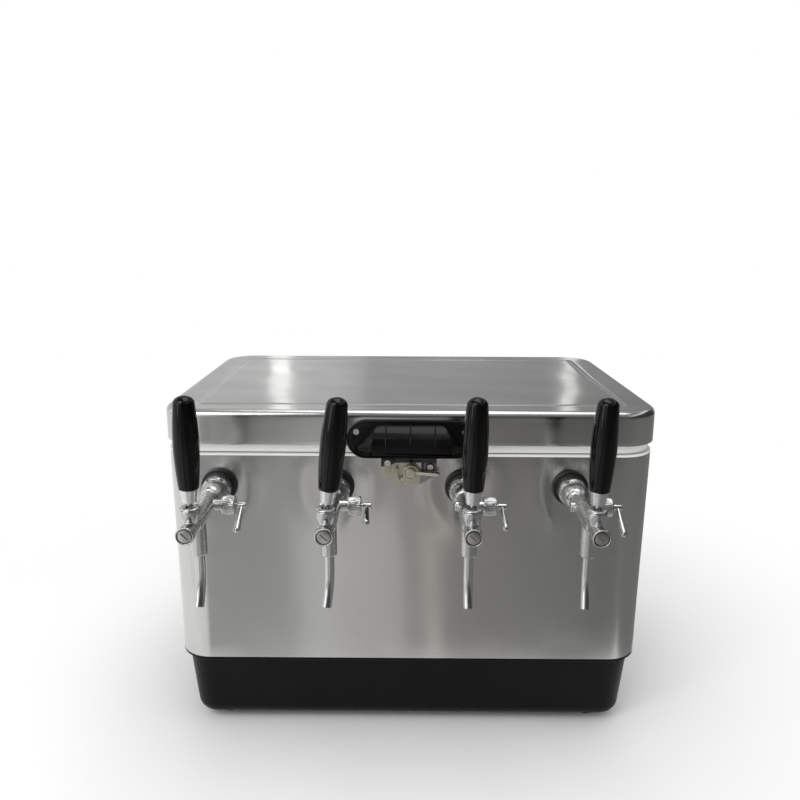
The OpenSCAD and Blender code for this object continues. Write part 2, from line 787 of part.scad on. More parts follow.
// Outline of the black handle, swelling to its widest a little under half way up
function grip_outline(foot, wide, neck, top) = concat(
    [[0, foot - 2.4], [ferrule_top_r - 1, foot - 2.4], [ferrule_top_r - 1, foot + 0.2],
     [grip_foot_r, foot + 0.6]],
    [for (i = [1 : 8]) [grip_foot_r + (grip_r - grip_foot_r) * sin(90 * i / 8),
                        foot + 0.6 + (wide - foot - 0.6) * i / 8]],
    [for (i = [1 : 6]) [grip_neck_r + (grip_r - grip_neck_r) * cos(90 * i / 6),
                        wide + (neck - wide) * i / 6]],
    [for (i = [1 : 6]) [grip_neck_r * cos(90 * i / 6), neck + (top - neck) * sin(90 * i / 6)]]);

module handle_grip(k) {
    foot = ferrule_z - ball_h + ferrule_h;
    color(black) at_ball(k) difference() {
        rotate_extrude() polygon(
            grip_outline(foot, foot + grip_h * 0.47, foot + grip_h * 0.92, foot + grip_h));
        translate([0, 0, foot - 4]) cylinder(h = 23, r = stud_r + run);
    }
}

module plunger(k) {
    color(chrome) at_tap(k) difference() {
        union() {
            out_bar(spout_out + 8.5, neck_end - 3, plunger_r);
            out_bar(seat_a - 6, spout_out + 9, 2);
            out_bar(seat_a - 8.5, seat_a - 0.5, chamber_r - 1.5);
        }
        translate([-4.6, -lever_out - finger_ball_r - finger_play, -3.2])
            cube([9.2, 2 * (finger_ball_r + finger_play), 12]);
        translate([-8, -lever_out - 9, 3.2]) cube([16, 9, 12]);
    }
}

module flow_lever(k) {
    color(chrome) at_tap(k) translate([0, -flow_out, 0]) rotate([-flow_rest[k], 0, 0]) {
        cross_bar(-9.5, hub_a + 1, spindle_r);
        cross_bar(hub_a, hub_b, hub_r);
        rotate([90, 0, 0]) translate([0, 0, -disc_t / 2])
            cylinder(h = disc_t, r = chamber_r - 0.7);
        translate([(hub_a + hub_b) / 2, 0, -arm_len - 2]) {
            cylinder(h = arm_len + 2, r1 = arm_tip_r, r2 = arm_tip_r / 2);
            sphere(r = arm_tip_r);
        }
    }
}

// ---------------------------------------------------------------- drain

module drain_spout() {
    color(white) on_side(1, drain_z) difference() {
        union() {
            out_bar(seat_gap, 3, drain_body_r + drain_flange_w);
            out_bar(-shank_in + 12, drain_end, drain_body_r);
        }
        out_bar(-shank_in, drain_end + cut, drain_r);
    }
}
module drain_nut() {
    color(white) on_side(1, drain_z) difference() {
        union() {
            out_bar(-tub_wall - washer_t, -tub_wall - seat_gap, drain_body_r + drain_flange_w);
            out_hex(-tub_wall - washer_t - nut_t, -tub_wall - washer_t, 2 * drain_body_r + 4);
        }
        out_bar(-tub_wall - washer_t - nut_t - cut, -tub_wall + cut, drain_body_r + run);
    }
}
module drain_cap() {
    color(white) on_side(1, drain_z) difference() {
        union() {
            out_bar(4, drain_cap_end, drain_body_r + 3);
            for (a = [0 : 30 : 330]) rotate([0, a, 0])
                translate([-0.9, -drain_cap_end + 1, drain_body_r + 2]) cube([1.8, 16, 1.8]);
        }
        out_bar(3, drain_end + 0.5, drain_body_r + play);
    }
}

// ---------------------------------------------------------------- latch and hinges

// Plate on the wall: round about the hub at its upper right, with an ear for the right screw;
// its upper left corner lies behind the strike's block
module latch_plate() {
    round_r = hub_disc_r + 1.4;
    color(steel) on_front(latch_x, latch_z) difference() {
        translate([0, -seat_gap, 0]) rotate([90, 0, 0]) linear_extrude(latch_t - seat_gap)
            polygon(concat(
                [[-35.6, 16], [-35.6, -7.2], [-28, -8.4], [-13.5, -17.4], [8.7, -17.4], [33, -2.6],
                 [31.4, 0.5], [31.4, 13.5], [29, 16], [15.2, 16], [15.2, 0], [round_r, 0]],
                [for (a = [15 : 15 : 75]) [round_r * cos(a), round_r * sin(a)]],
                [[0, round_r], [-20, round_r], [-20, 16]]));
        out_bar(-cut, latch_t + cut, latch_pivot_r + run);
        for (p = latch_screw_at) translate([p[0], 0, p[1]]) screw_hole(latch_t);
    }
}

// Turn piece: hub disc, thumb wing to the right, and a hook to the left that swings up over
// the strike pin when the wing is turned down
module latch_turn() {
    disc_a = latch_t + play;
    disc_b = disc_a + 4.2;
    sink = 0.2;               // how far the hook and the wing reach into the disc
    color(steel) on_front(latch_x, latch_z) {
        out_bar(play, disc_a + 1, latch_pivot_r);
        out_bar(disc_a, disc_b, hub_disc_r);
        out_bar(disc_b - 1, disc_b + 3.2, hub_boss_r);
        translate([0, -disc_b + sink, 0]) rotate([90, 0, 0]) linear_extrude(hook_t) {
            intersection() {
                difference() {
                    circle(r = hook_r + hook_w);
                    circle(r = hook_r);
                }
                polygon([[0, 0], [-40, 17], [-40, -30], [-22, -30]]);
            }
            rotate(218) translate([latch_pivot_r, -2]) square([hook_r - 1, 4]);
        }
        difference() {
            translate([0, -disc_b - wing_out + sink, -wing_t / 2])
                cube([wing_len, wing_out, wing_t]);
            translate([0, -disc_b - wing_out + sink - cut, -wing_t]) rotate([0, 0, 14])
                cube([wing_len + 10, 1.6, 2 * wing_t]);
        }
        translate([wing_len, -disc_b + sink, 0]) rotate([90, 0, 0])
            cylinder(h = wing_out, r = 4.4);
    }
}

// Strike on the lid: a strip behind the handle, with a block in front of its left end, a short
// leg beside the hub and the pin that the hook passes over; a notch through strip and block
// lifts clear of the screw in the plate's upper left corner
module latch_keeper() {
    leg_x = hub_disc_r + 2.4;
    notch_r = head_r + 0.6;
    color([0.25, 0.25, 0.27]) translate([latch_x, -strike_y, latch_z]) {
        difference() {
            union() {
                translate([strike_left, -strike_t, strike_low])
                    cube([strike_right - strike_left, strike_t, strike_high - strike_low]);
                translate([0, -strike_t + 0.15, 0]) rotate([90, 0, 0]) linear_extrude(1.2)
                    polygon([[strike_left, 7.6], [-28, 7.6], [-21.3, 12], [-19.3, 12],
                             [-19.3, 17.4], [strike_left, 17.4]]);
            }
            translate([latch_screw_at[1][0], 0, latch_screw_at[1][1]]) {
                out_bar(-cut, strike_t + 1.2 + cut, notch_r);
                translate([-notch_r, -strike_t - 1.2 - cut, -20])
                    cube([2 * notch_r, strike_t + 1.2 + 2 * cut, 20]);
            }
        }
        translate([leg_x, -strike_t, 1.8]) cube([2.8, strike_t, strike_low]);
        translate([0, 0, strike_rise]) out_bar(0, 6.6, strike_r);
    }
}

module knuckles(first) {
    step = hinge_w / knuckle_count;
    for (i = [first : 2 : knuckle_count - 1])
        translate([-hinge_w / 2 + i * step + 0.15, 0, 0]) cross_bar(0, step - play, knuckle_r);
}
module knuckle_gaps(first) {
    step = hinge_w / knuckle_count;
    for (i = [first : 2 : knuckle_count - 1])
        translate([-hinge_w / 2 + i * step - 0.15, -knuckle_r - play, -knuckle_r - play])
            cube([step + play, 2 * (knuckle_r + play) - 0.1, 2 * (knuckle_r + play)]);
}

module hinge_body_leaves() {
    color(steel) for (s = [-1, 1]) translate([s * hinge_x, hinge_y, hinge_z]) difference() {
        union() {
            knuckles(0);
            translate([-hinge_w / 2 + 0.15, -knuckle_r, wrap_top - body_leaf_drop - hinge_z])
                cube([hinge_w - play, leaf_t, hinge_z - wrap_top + body_leaf_drop]);
        }
        knuckle_gaps(1);
        cross_bar(-hinge_w, hinge_w, hinge_pin_r + run);
        for (u = [-1, 1]) translate([u * leaf_screw_x, 0, leaf_screw_z - hinge_z])
            rotate([0, 0, 180]) out_bar(-knuckle_r - cut, knuckle_r + cut, screw_r + 0.3);
    }
}

module hinge_lid_leaves() {
    color(steel) for (s = [-1, 1]) translate([s * hinge_x, hinge_y, hinge_z]) difference() {
        union() {
            knuckles(1);
            translate([-hinge_w / 2 + 0.15, lid_leaf_y, 0])
                cube([hinge_w - play, leaf_t, skirt_bottom + lid_leaf_h - hinge_z]);
        }
        knuckle_gaps(0);
        cross_bar(-hinge_w, hinge_w, hinge_pin_r + run);
        for (u = [-1, 1]) translate([u * leaf_screw_x, 0, lid_leaf_screw_z - hinge_z])
            rotate([0, 0, 180]) out_bar(-10, 10, screw_r + 0.1);
    }
}

module hinge_pins() {
    color(steel) for (s = [-1, 1]) translate([s * hinge_x, hinge_y, hinge_z]) {
        cross_bar(-hinge_w / 2 - 1.5, hinge_w / 2 + 1.5, hinge_pin_r);
        cross_bar(-hinge_w / 2 - 2.5, -hinge_w / 2 - 0.2, hinge_pin_r + 1.2);
        cross_bar(hinge_w / 2 + 0.2, hinge_w / 2 + 2.5, hinge_pin_r + 1.2);
    }
}

module body_screws() {
    color(chrome) {
        wall_screw_places() screw(latch_t + seat_gap);
        hinge_screw_places() screw(leaf_seat);
        foot_places() foot_screw();
    }
}

// ---------------------------------------------------------------- lid

// Section of the lid's steel skin, with its hem and the pressed channel
function lid_edge(t) = [for (i = [0 : 6])
    [lid_edge_r - (lid_edge_r - t) * cos(15 * i),
     lid_top - lid_edge_r + (lid_edge_r - t) * sin(15 * i)]];
function channel(z, grow) = [
    [channel_inset - grow, z], [channel_inset - grow, z - channel_t],
    [channel_inset + channel_w + grow, z - channel_t], [channel_inset + channel_w + grow, z]];

module lid_cap() {
    color(steel) difference() {
        chest_part(concat([[hem_in, skirt_bottom], [0, skirt_bottom]], lid_edge(0),
                          channel(lid_top, 0), [[corner_r, lid_top]],
                          [[corner_r, lid_top - sheet_t]],
                          backwards(channel(lid_top - sheet_t, sheet_t)),
                          backwards(lid_edge(sheet_t)),
                          [[sheet_t, skirt_bottom + sheet_t], [hem_in, skirt_bottom + sheet_t]]),
                   [lid_top - sheet_t, lid_top]);
        lid_screw_places() screw_hole(leaf_t);
    }
}

module lid_screw_places() {
    for (s = [-1, 1]) translate([s * handle_screw_x, -lid_d / 2, handle_screw_z]) children();
    for (s = [-1, 1], u = [-1, 1])
        translate([s * hinge_x + u * leaf_screw_x, lid_d / 2, lid_leaf_screw_z])
            rotate([0, 0, 180]) children();
}

module lid_liner() {
    color(white) chest_part([
        [band_in, band_top], [band_in, liner_bottom],
        [gasket_in - slip, liner_bottom], [gasket_in - slip, groove_top],
        [gasket_in + gasket_w + slip, groove_top], [gasket_in + gasket_w + slip, liner_bottom],
        [plug_in, liner_bottom], [plug_in + plug_lean, plug_low],
        [corner_r, plug_low], [corner_r, plug_low + tub_t],
        [plug_in + plug_lean + tub_t, plug_low + tub_t], [plug_in + tub_t, liner_floor],
        [band_in + tub_t, liner_floor], [band_in + tub_t, band_top]],
        [plug_low, plug_low + tub_t]);
}

module lid_gasket() {
    color(black) chest_part([
        [gasket_in, rim_top + play], [gasket_in, groove_top - seat_gap],
        [gasket_in + gasket_w, groove_top - seat_gap], [gasket_in + gasket_w, rim_top + play]]);
}

module lid_foam() {
    low = plug_low + tub_t + slip;
    high = lid_top - channel_t - sheet_t - slip;
    side = sheet_t + slip;
    color(foam_colour) difference() {
        chest_part([
            [corner_r, low], [plug_in + plug_lean + tub_t + slip, low],
            [plug_in + tub_t + slip, liner_floor + slip],
            [band_in + tub_t + slip, liner_floor + slip],
            [band_in + tub_t + slip, band_top + slip], [side, band_top + slip],
            [side, lid_top - lid_edge_r], [lid_edge_r * 0.6, high - 1],
            [lid_edge_r * 1.2, high], [corner_r, high]], [low, high]);
        lid_screw_places() screw_hole(leaf_t);
    }
}

// Cup pull: a plate with a hood that is open below for the fingers
module hood(grow, drop) {
    // corners of the hood's right half as [x, how far it stands out, z]
    foot = 6;
    low = skirt_bottom - 1;
    corner = [[handle_half_w - 17, foot, low - drop], [46, hood_out, low - drop],
              [44, hood_out - 2, low + 14], [38, foot, low + 24]];
    hull() for (c = corner, s = [-1, 1])
        translate([s * c[0], -lid_d / 2 - c[1], c[2]]) sphere(r = grow, $fn = 24);
}

module lid_handle() {
    end_r = (handle_high - handle_low) / 2;
    middle = (handle_high + handle_low) / 2;
    color(black) difference() {
        union() {
            translate([0, -lid_d / 2 - seat_gap, 0]) rotate([90, 0, 0])
                linear_extrude(handle_t - seat_gap) {
                    for (s = [-1, 1]) translate([s * (handle_half_w - end_r), middle])
                        circle(r = end_r);
                    translate([-(handle_half_w - end_r), handle_low])
                        square([2 * (handle_half_w - end_r), 2 * end_r]);
                }
            difference() {
                hood(hood_edge_r, 0);
                translate([-100, -lid_d / 2 - 60, 0]) cube([200, 60, skirt_bottom - 4]);
                translate([-100, -lid_d / 2 - seat_gap, 0]) cube([200, 60, lid_top + 60]);
            }
        }
        difference() {
            hood(hood_edge_r - hood_wall, 12);
            translate([-100, -lid_d / 2 - handle_t, 0]) cube([200, 60, lid_top]);
        }
        translate([latch_x + strike_left - play, -strike_y - strike_t - 0.1, handle_low - cut])
            cube([strike_right - strike_left + 2 * play, 4,
                  latch_z + strike_high + play - handle_low + cut]);
        for (s = [-1, 1]) translate([s * handle_screw_x, -lid_d / 2, handle_screw_z])
            out_bar(-cut, handle_t + cut, screw_r + 0.1);
    }
}

module lid_screws() {
    color(chrome) {
        for (s = [-1, 1]) translate([s * handle_screw_x, -lid_d / 2, handle_screw_z])
            screw(handle_t + seat_gap);
        for (s = [-1, 1], u = [-1, 1])
            translate([s * hinge_x + u * leaf_screw_x, lid_d / 2, lid_leaf_screw_z])
                rotate([0, 0, 180]) screw(leaf_t + leaf_gap + seat_gap);
    }
}

// ---------------------------------------------------------------- carrying handles

module bail_brackets() {
    color(steel) for (s = [-1, 1], e = [-1, 1])
        on_side(s, bail_z) translate([e * bracket_x, 0, 0]) difference() {
            union() {
                translate([-bracket_half_w, -latch_t, -bracket_half_h])
                    cube([2 * bracket_half_w, latch_t - seat_gap, 2 * bracket_half_h]);
                translate([-bracket_eye_w / 2, -bail_out - bracket_eye_r, -bracket_eye_r - 1])
                    cube([bracket_eye_w, bail_out + bracket_eye_r - 0.5, 2 * bracket_eye_r + 2]);
            }
            translate([0, -bail_out, 0]) cross_bar(-20, 20, bail_r + run);
            for (v = [-1, 1]) translate([0, 0, v * bracket_screw_z]) screw_hole(latch_t);
        }
}

// A steel rod: pins in the brackets, two arms and the bar that carries the grip
module carry_bail(s) {
    arm_top = -bail_hook;
    arm_low = -bail_drop + bail_bend;
    bar_half = bail_half_w - bail_bend;
    color(steel) on_side(s, bail_z) translate([0, -bail_out, 0]) {
        translate([0, 0, -bail_drop]) cross_bar(-bar_half, bar_half, bail_r);
        for (e = [0, 1]) mirror([e, 0, 0]) {
            translate([bail_half_w, 0, arm_low]) cylinder(h = arm_top - arm_low, r = bail_r);
            cross_bar_at = bail_half_w + bail_hook;
            cross_bar(cross_bar_at, cross_bar_at + bail_pin_end, bail_r);
            translate([cross_bar_at, 0, arm_top]) rotate([90, 0, 0]) rotate([0, 0, 90])
                rotate_extrude(angle = 90) translate([bail_hook, 0]) circle(r = bail_r);
            translate([bar_half, 0, arm_low]) rotate([90, 0, 0]) rotate([0, 0, -90])
                rotate_extrude(angle = 90) translate([bail_bend, 0]) circle(r = bail_r);
        }
    }
}

module carry_grip(s) {
    half = bail_half_w - bail_bend - 4;
    color(black) on_side(s, bail_z) translate([0, -bail_out, -bail_drop]) difference() {
        union() {
            cross_bar(-half, half, bail_grip_r);
            for (i = [-3 : 3]) translate([i * grip_ring_pitch, 0, 0])
                cross_bar(-2.5, 2.5, grip_ring_r);
        }
        cross_bar(-half - cut, half + cut, bail_r + run);
    }
}

base_shell();
feet();
steel_wrap();
tub_liner();
body_foam();
cold_plate();
plate_barbs();
outlet_lines();
inlet_lines();
hose_clamps();
inlet_fittings();
inlet_lock_nuts();
shanks();
shank_lock_nuts();
wall_flanges();
coupling_nuts();
faucet_bodies();
collar_nuts();
front_caps();
cap_plugs();
flow_bonnets();
spout_tubes();
tap_lever(0);  // tap_lever_1
tap_lever(1);  // tap_lever_2
tap_lever(2);  // tap_lever_3
tap_lever(3);  // tap_lever_4
handle_grip(0);  // handle_grip_1
handle_grip(1);  // handle_grip_2
handle_grip(2);  // handle_grip_3
handle_grip(3);  // handle_grip_4
plunger(0);  // plunger_1
plunger(1);  // plunger_2
plunger(2);  // plunger_3
plunger(3);  // plunger_4
flow_lever(0);  // flow_lever_1
flow_lever(1);  // flow_lever_2
flow_lever(2);  // flow_lever_3
flow_lever(3);  // flow_lever_4
drain_spout();
drain_nut();
drain_cap();
latch_plate();
latch_turn();
latch_keeper();
hinge_body_leaves();
hinge_lid_leaves();
hinge_pins();
lid_cap();
lid_liner();
lid_foam();
lid_gasket();
lid_handle();
lid_screws();
bail_brackets();
carry_bail(-1);  // carry_bail_left
carry_bail(1);  // carry_bail_right
carry_grip(-1);  // carry_grip_left
carry_grip(1);  // carry_grip_right
body_screws();
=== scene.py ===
# %% [markdown]
# # A four-tap draught beer cooler box
#
# The box is an insulated chest wrapped in brushed stainless sheet, with a hinged steel lid, a black
# moulded base and four chrome beer taps on its front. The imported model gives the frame: every piece
# below is made in the same metres, so it goes where the frame says and needs no fitting.

# %% Load the frame
import math

import bmesh
import bpy
from mathutils import Matrix, Vector


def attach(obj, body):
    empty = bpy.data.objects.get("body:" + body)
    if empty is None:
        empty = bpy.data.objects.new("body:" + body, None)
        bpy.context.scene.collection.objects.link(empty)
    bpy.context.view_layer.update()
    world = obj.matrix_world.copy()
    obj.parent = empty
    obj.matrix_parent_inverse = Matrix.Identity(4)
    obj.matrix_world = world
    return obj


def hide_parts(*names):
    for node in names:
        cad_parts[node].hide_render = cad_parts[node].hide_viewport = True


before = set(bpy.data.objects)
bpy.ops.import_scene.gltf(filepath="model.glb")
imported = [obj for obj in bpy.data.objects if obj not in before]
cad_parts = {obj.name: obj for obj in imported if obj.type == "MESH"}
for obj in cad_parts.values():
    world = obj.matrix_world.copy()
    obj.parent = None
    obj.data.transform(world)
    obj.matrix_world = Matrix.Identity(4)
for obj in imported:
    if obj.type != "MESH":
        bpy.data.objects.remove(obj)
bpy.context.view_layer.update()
scene = bpy.context.scene


def put(name, data):
    """Puts a new object in the scene."""
    o = bpy.data.objects.new(name, data)
    scene.collection.objects.link(o)
    return o


# %% [markdown]
# ## Camera
#
# A camera can be set by eye, or solved from straight edges that the picture shows. This one was
# solved from the lid's and the wrap's edges: it stands 0.9 m in front of the chest and 0.2 m above
# its lid, and looks down by twelve and a half degrees. The lens is given by its focal length in
# pixels, turned into millimetres on a 36 mm sensor.

# %% Camera
def aim(place, pitch, yaw, roll):
    """A camera's matrix from where it stands and three angles in degrees."""
    p, y, r = (math.radians(a) for a in (pitch, yaw, roll))
    right = Vector((math.cos(y), -math.sin(y), 0))
    ahead = Vector((math.cos(p) * math.sin(y), math.cos(p) * math.cos(y), -math.sin(p)))
    up = right.cross(ahead)
    tilted_right = right * math.cos(r) + up * math.sin(r)
    tilted_up = up * math.cos(r) - right * math.sin(r)
    turn = Matrix((tilted_right, tilted_up, -ahead)).transposed().to_4x4()
    return Matrix.Translation(place) @ turn


picture_side = 800
focal_pixels = 770.58
lens = bpy.data.cameras.new("photo_camera")
lens.sensor_width = 36.0
lens.lens = focal_pixels * lens.sensor_width / picture_side
lens.clip_start, lens.clip_end = 0.01, 100
camera = put("photo_camera", lens)
camera.matrix_world = aim(Vector((-0.0100, -1.1167, 0.6473)), 12.56, -0.19, 0.281)
scene.camera = camera
print("lens", round(lens.lens, 2), "mm")

# %% [markdown]
# ## Materials from nodes
#
# Every material here is a small graph of nodes. A few helpers keep the graphs short to write: one
# adds a node with its settings, and the others are the sums, ramps and blends that come up most.

# %% Node helpers
def new_finish(name, colour, rough, metal=0.0):
    m = bpy.data.materials.new(name)
    m.use_nodes = True
    shader = m.node_tree.nodes["Principled BSDF"]
    shader.inputs["Base Color"].default_value = (*colour, 1)
    shader.inputs["Roughness"].default_value = rough
    shader.inputs["Metallic"].default_value = metal
    m.diffuse_color = (*colour, 1)
    return m, m.node_tree, shader


def add(tree, kind, **settings):
    """Adds a node. Each setting is an input's value or else one of the node's properties."""
    node = tree.nodes.new("ShaderNode" + kind)
    for key, value in settings.items():
        if key in node.inputs:
            node.inputs[key].default_value = value
        else:
            setattr(node, key, value)
    return node


def maths(tree, kind, a, b):
    """One step of arithmetic between two sockets or numbers."""
    node = add(tree, "Math", operation=kind)
    for socket, value in zip(node.inputs, (a, b)):
        if isinstance(value, (int, float)):
            socket.default_value = value
        else:
            tree.links.new(value, socket)
    return node.outputs[0]


def spread(tree, value, low, high, start=0.3, end=0.7):
    """Maps what lies between start and end, as most noise does, to a range of values."""
    m = add(tree, "MapRange", **{"From Min": start, "From Max": end, "To Min": low, "To Max": high})
    tree.links.new(value, m.inputs["Value"])
    return m.outputs["Result"]


def stops(tree, value, colours):
    """Colours along a value, from a list of (position, colour)."""
    ramp = add(tree, "ValToRGB")
    while len(ramp.color_ramp.elements) < len(colours):
        ramp.color_ramp.elements.new(0.5)
    for e, (at, c) in zip(ramp.color_ramp.elements, colours):
        e.position, e.color = at, (*c, 1)
    tree.links.new(value, ramp.inputs["Fac"])
    return ramp.outputs["Color"]


def times(tree, one, two, share=1.0):
    """A colour multiplied by another one, or by a share of it."""
    both = add(tree, "MixRGB", blend_type="MULTIPLY", Fac=share)
    tree.links.new(one, both.inputs[1])
    tree.links.new(two, both.inputs[2])
    return both.outputs[0]


# %% [markdown]
# ## Room, lamps and white background
#
# Polished metal has no look of its own: it shows the room. So the room is planned first. A floor and
# a white world give the plain background. Large soft lamps light everything evenly. Then pale and
# dark cards stand where the metal sees them but the camera doesn't, as a product photographer sets
# them: a graded card in front for the wrap, a long pale one behind for the lid with two bright
# strips in it, and dark ones to the right, so that each round part gets a light and a dark side.

# %% Helpers for cards
def glow(name, tone, ramp=None):
    """Light of a given tone; ramp is a function that adds nodes and returns their colour."""
    m = bpy.data.materials.new(name)
    m.use_nodes = True
    tree = m.node_tree
    tree.nodes.clear()
    light = add(tree, "Emission", Strength=tone, Color=(1, 1, 1, 1))
    if ramp:
        tree.links.new(ramp(tree), light.inputs["Color"])
    tree.links.new(light.outputs[0], add(tree, "OutputMaterial").inputs["Surface"])
    return m


def card(name, corners, tone, ramp=None):
    """A sheet that only reflections can see."""
    mesh = bpy.data.meshes.new(name)
    mesh.from_pydata([Vector(c) for c in corners], [], [(0, 1, 2, 3)])
    mesh.materials.append(glow(name + "_tone", tone, ramp))
    o = put(name, mesh)
    o.visible_camera = o.visible_diffuse = o.visible_shadow = False
    o.visible_transmission = o.visible_volume_scatter = False


def level_card(name, x0, x1, y0, y1, z, tone, ramp=None):
    """A card that lies flat."""
    card(name, [(x0, y0, z), (x1, y0, z), (x1, y1, z), (x0, y1, z)], tone, ramp)


def upright_card(name, x0, x1, y, z0, z1, tone, ramp=None):
    """A card that stands across the view."""
    card(name, [(x0, y, z0), (x1, y, z0), (x1, y, z1), (x0, y, z1)], tone, ramp)


def where(tree):
    """Sockets for the X, Y and Z of the point that is lit."""
    xyz = add(tree, "SeparateXYZ")
    tree.links.new(add(tree, "NewGeometry").outputs["Position"], xyz.inputs[0])
    return xyz.outputs


def greys(pairs):
    return [(at, (t, t, t)) for at, t in pairs]


# %% Front cards
def front_tones(tree):
    """Left pale, middle warm, right dark, spread like a fan from a point behind the front wall."""
    place = where(tree)
    fan = maths(tree, "DIVIDE", place["X"], maths(tree, "SUBTRACT", fan_y, place["Y"]))
    across = maths(tree, "ADD", maths(tree, "MULTIPLY", fan, 1.30), 0.5)
    far = maths(tree, "DIVIDE", maths(tree, "SUBTRACT", -0.3, place["Y"]), 5.0)
    sideways = stops(tree, across, [(at, (t, t * warm, t * warm * warm)) for at, t, warm in (
        (0.0, 1.0, 1), (0.10, 0.92, 1), (0.128, 0.40, 1), (0.28, 0.44, 1), (0.31, 0.64, 1),
        (0.345, 0.70, 1), (0.40, 0.62, 0.985), (0.475, 0.58, 0.975), (0.50, 0.40, 0.97),
        (0.53, 0.40, 0.965), (0.555, 0.64, 0.95), (0.582, 0.31, 0.97), (0.66, 0.29, 0.98),
        (0.76, 0.25, 1), (0.85, 0.20, 1), (1.0, 0.24, 1))])
    away = stops(tree, far, greys(
        ((0.0, 0.9), (0.10, 1), (0.24, 0.85), (0.36, 0.55), (1.0, 0.40))))
    return times(tree, sideways, away)


fan_y = 0.7                                # the fan's point, behind the chest
front_y, far_y, low_z = -0.36, -5.3, -0.004
level_card("front_card_low", -5, 5, far_y, front_y, low_z, 1.0, front_tones)
for n, fan in (("left", -0.203), ("right", 0.213)):
    near, away, half = -1.75, -2.9, 0.012
    card("front_streak_" + n, [((fan + d) * (fan_y - y), y, -0.002) for d, y in
                               ((-half, away), (half, away), (half, near), (-half, near))], 0.07)
upright_card("front_card_high", -1.5, 6, far_y, 0, 3.4, 0.09)

# %% Cards at the right, behind and above
card("right_card", [(3.0, -5.2, 0), (3.0, 2.5, 0), (3.0, 2.5, 2.6), (3.0, -5.2, 2.6)], 0.05)
level_card("right_card_low", 0.42, 5, front_y, 2.5, low_z, 0.22)


def back_tones(tree):
    """Pale at the left, darker at the right, and darker again above what the lid's edge shows."""
    place = where(tree)
    across = stops(tree, spread(tree, place["X"], 0, 1, -1.5, 1.5), [
        (at, (t, t, t * 1.01)) for at, t in (
            (0.0, 0.76), (0.25, 0.76), (0.36, 0.70), (0.41, 0.60), (0.43, 0.46), (0.60, 0.43),
            (0.80, 0.36), (1.0, 0.32))])
    upwards = stops(tree, spread(tree, place["Z"], 0, 1, 1.12, 1.38), greys(((0, 1), (1, 0.68))))
    return times(tree, across, upwards)


back_y, strip_y, ceiling_z, ceiling_half = 3.4, 3.3, 3.0, 2.5
upright_card("back_card", 6, -6, back_y, low_z, ceiling_z, 1.0, back_tones)
for n, x, half, tone in (("left", -0.725, 0.055, 1.6), ("right", 0.965, 0.04, 1.15)):
    upright_card("back_strip_" + n, x + half, x - half, strip_y, 0.2, 2.4, tone)
for n, y0, y1, tone in (("high", -4.6, 1.4, 0.30), ("high_back", 1.4, back_y, 0.50)):
    level_card(n + "_card", -ceiling_half, ceiling_half, y0, y1, ceiling_z, tone)

# %% Floor
bm = bmesh.new()
bmesh.ops.create_grid(bm, x_segments=4, y_segments=4, size=14)
floor_mesh = bpy.data.meshes.new("floor")
bm.to_mesh(floor_mesh)
bm.free()
floor = put("floor", floor_mesh)
floor.location.z = -0.008
paper, pt, paper_shader = new_finish("floor_paper", (0.90, 0.90, 0.90), 0.8)
paper_shader.inputs["Specular IOR Level"].default_value = 0.1
# away from the object the camera sees the floor go over into the white background
from_middle = add(pt, "VectorMath", operation="LENGTH")
pt.links.new(add(pt, "NewGeometry").outputs["Position"], from_middle.inputs[0])
fade = add(pt, "MapRange", interpolation_type="SMOOTHSTEP", **{"From Min": 0.42, "From Max": 0.95})
pt.links.new(from_middle.outputs["Value"], fade.inputs["Value"])
blend = add(pt, "MixShader")
pt.links.new(maths(pt, "MULTIPLY", fade.outputs["Result"],
                   add(pt, "LightPath").outputs["Is Camera Ray"]), blend.inputs[0])
pt.links.new(paper_shader.outputs[0], blend.inputs[1])
pt.links.new(add(pt, "Emission").outputs[0], blend.inputs[2])
pt.links.new(blend.outputs[0], pt.nodes["Material Output"].inputs["Surface"])
floor_mesh.materials.append(paper)

# %% World and lamps
world = bpy.data.worlds.new("white_room")
scene.world = world
world.use_nodes = True
wt = world.node_tree
soft = wt.nodes["Background"]
soft.inputs["Color"].default_value = (1, 1, 1, 1)
soft.inputs["Strength"].default_value = 0.72
seen = add(wt, "Background", Color=(1, 1, 1, 1), Strength=1.0)
rays = add(wt, "LightPath").outputs
shown = rays["Is Camera Ray"]
for kind in ("Is Glossy Ray", "Is Transmission Ray"):
    shown = maths(wt, "MAXIMUM", shown, rays[kind])
pick = add(wt, "MixShader")
for socket, source in zip(pick.inputs, (shown, soft.outputs[0], seen.outputs[0])):
    wt.links.new(source, socket)
wt.links.new(pick.outputs[0], wt.nodes["World Output"].inputs["Surface"])


def lamp(name, place, look_at, size, watts):
    """A soft rectangular lamp, aimed at a point."""
    light = bpy.data.lights.new(name, "AREA")
    light.shape = "RECTANGLE"
    light.size, light.size_y = size
    light.energy = watts
    o = put(name, light)
    o.location = place
    o.rotation_euler = (Vector(look_at) - Vector(place)).to_track_quat("-Z", "Y").to_euler()


lamp("key", (-1.3, -2.0, 2.6), (0, 0, 0.25), (1.6, 1.2), 26)
lamp("overhead", (0.2, 0.1, 2.7), (0, 0, 0.3), (2.2, 1.4), 22)
lamp("left_strip", (-1.7, -1.55, 0.95), (0, -0.3, 0.35), (0.22, 1.5), 5)
scene.view_settings.view_transform = "Standard"
print("lamps:", len(bpy.data.lights))

# %% [markdown]
# ## Sizes of the chest
#
# Each outline of the chest is an inset from the lid's edge. Writing that once, as functions of the
# height, lets the wrap, the lid and everything screwed to a wall share it.

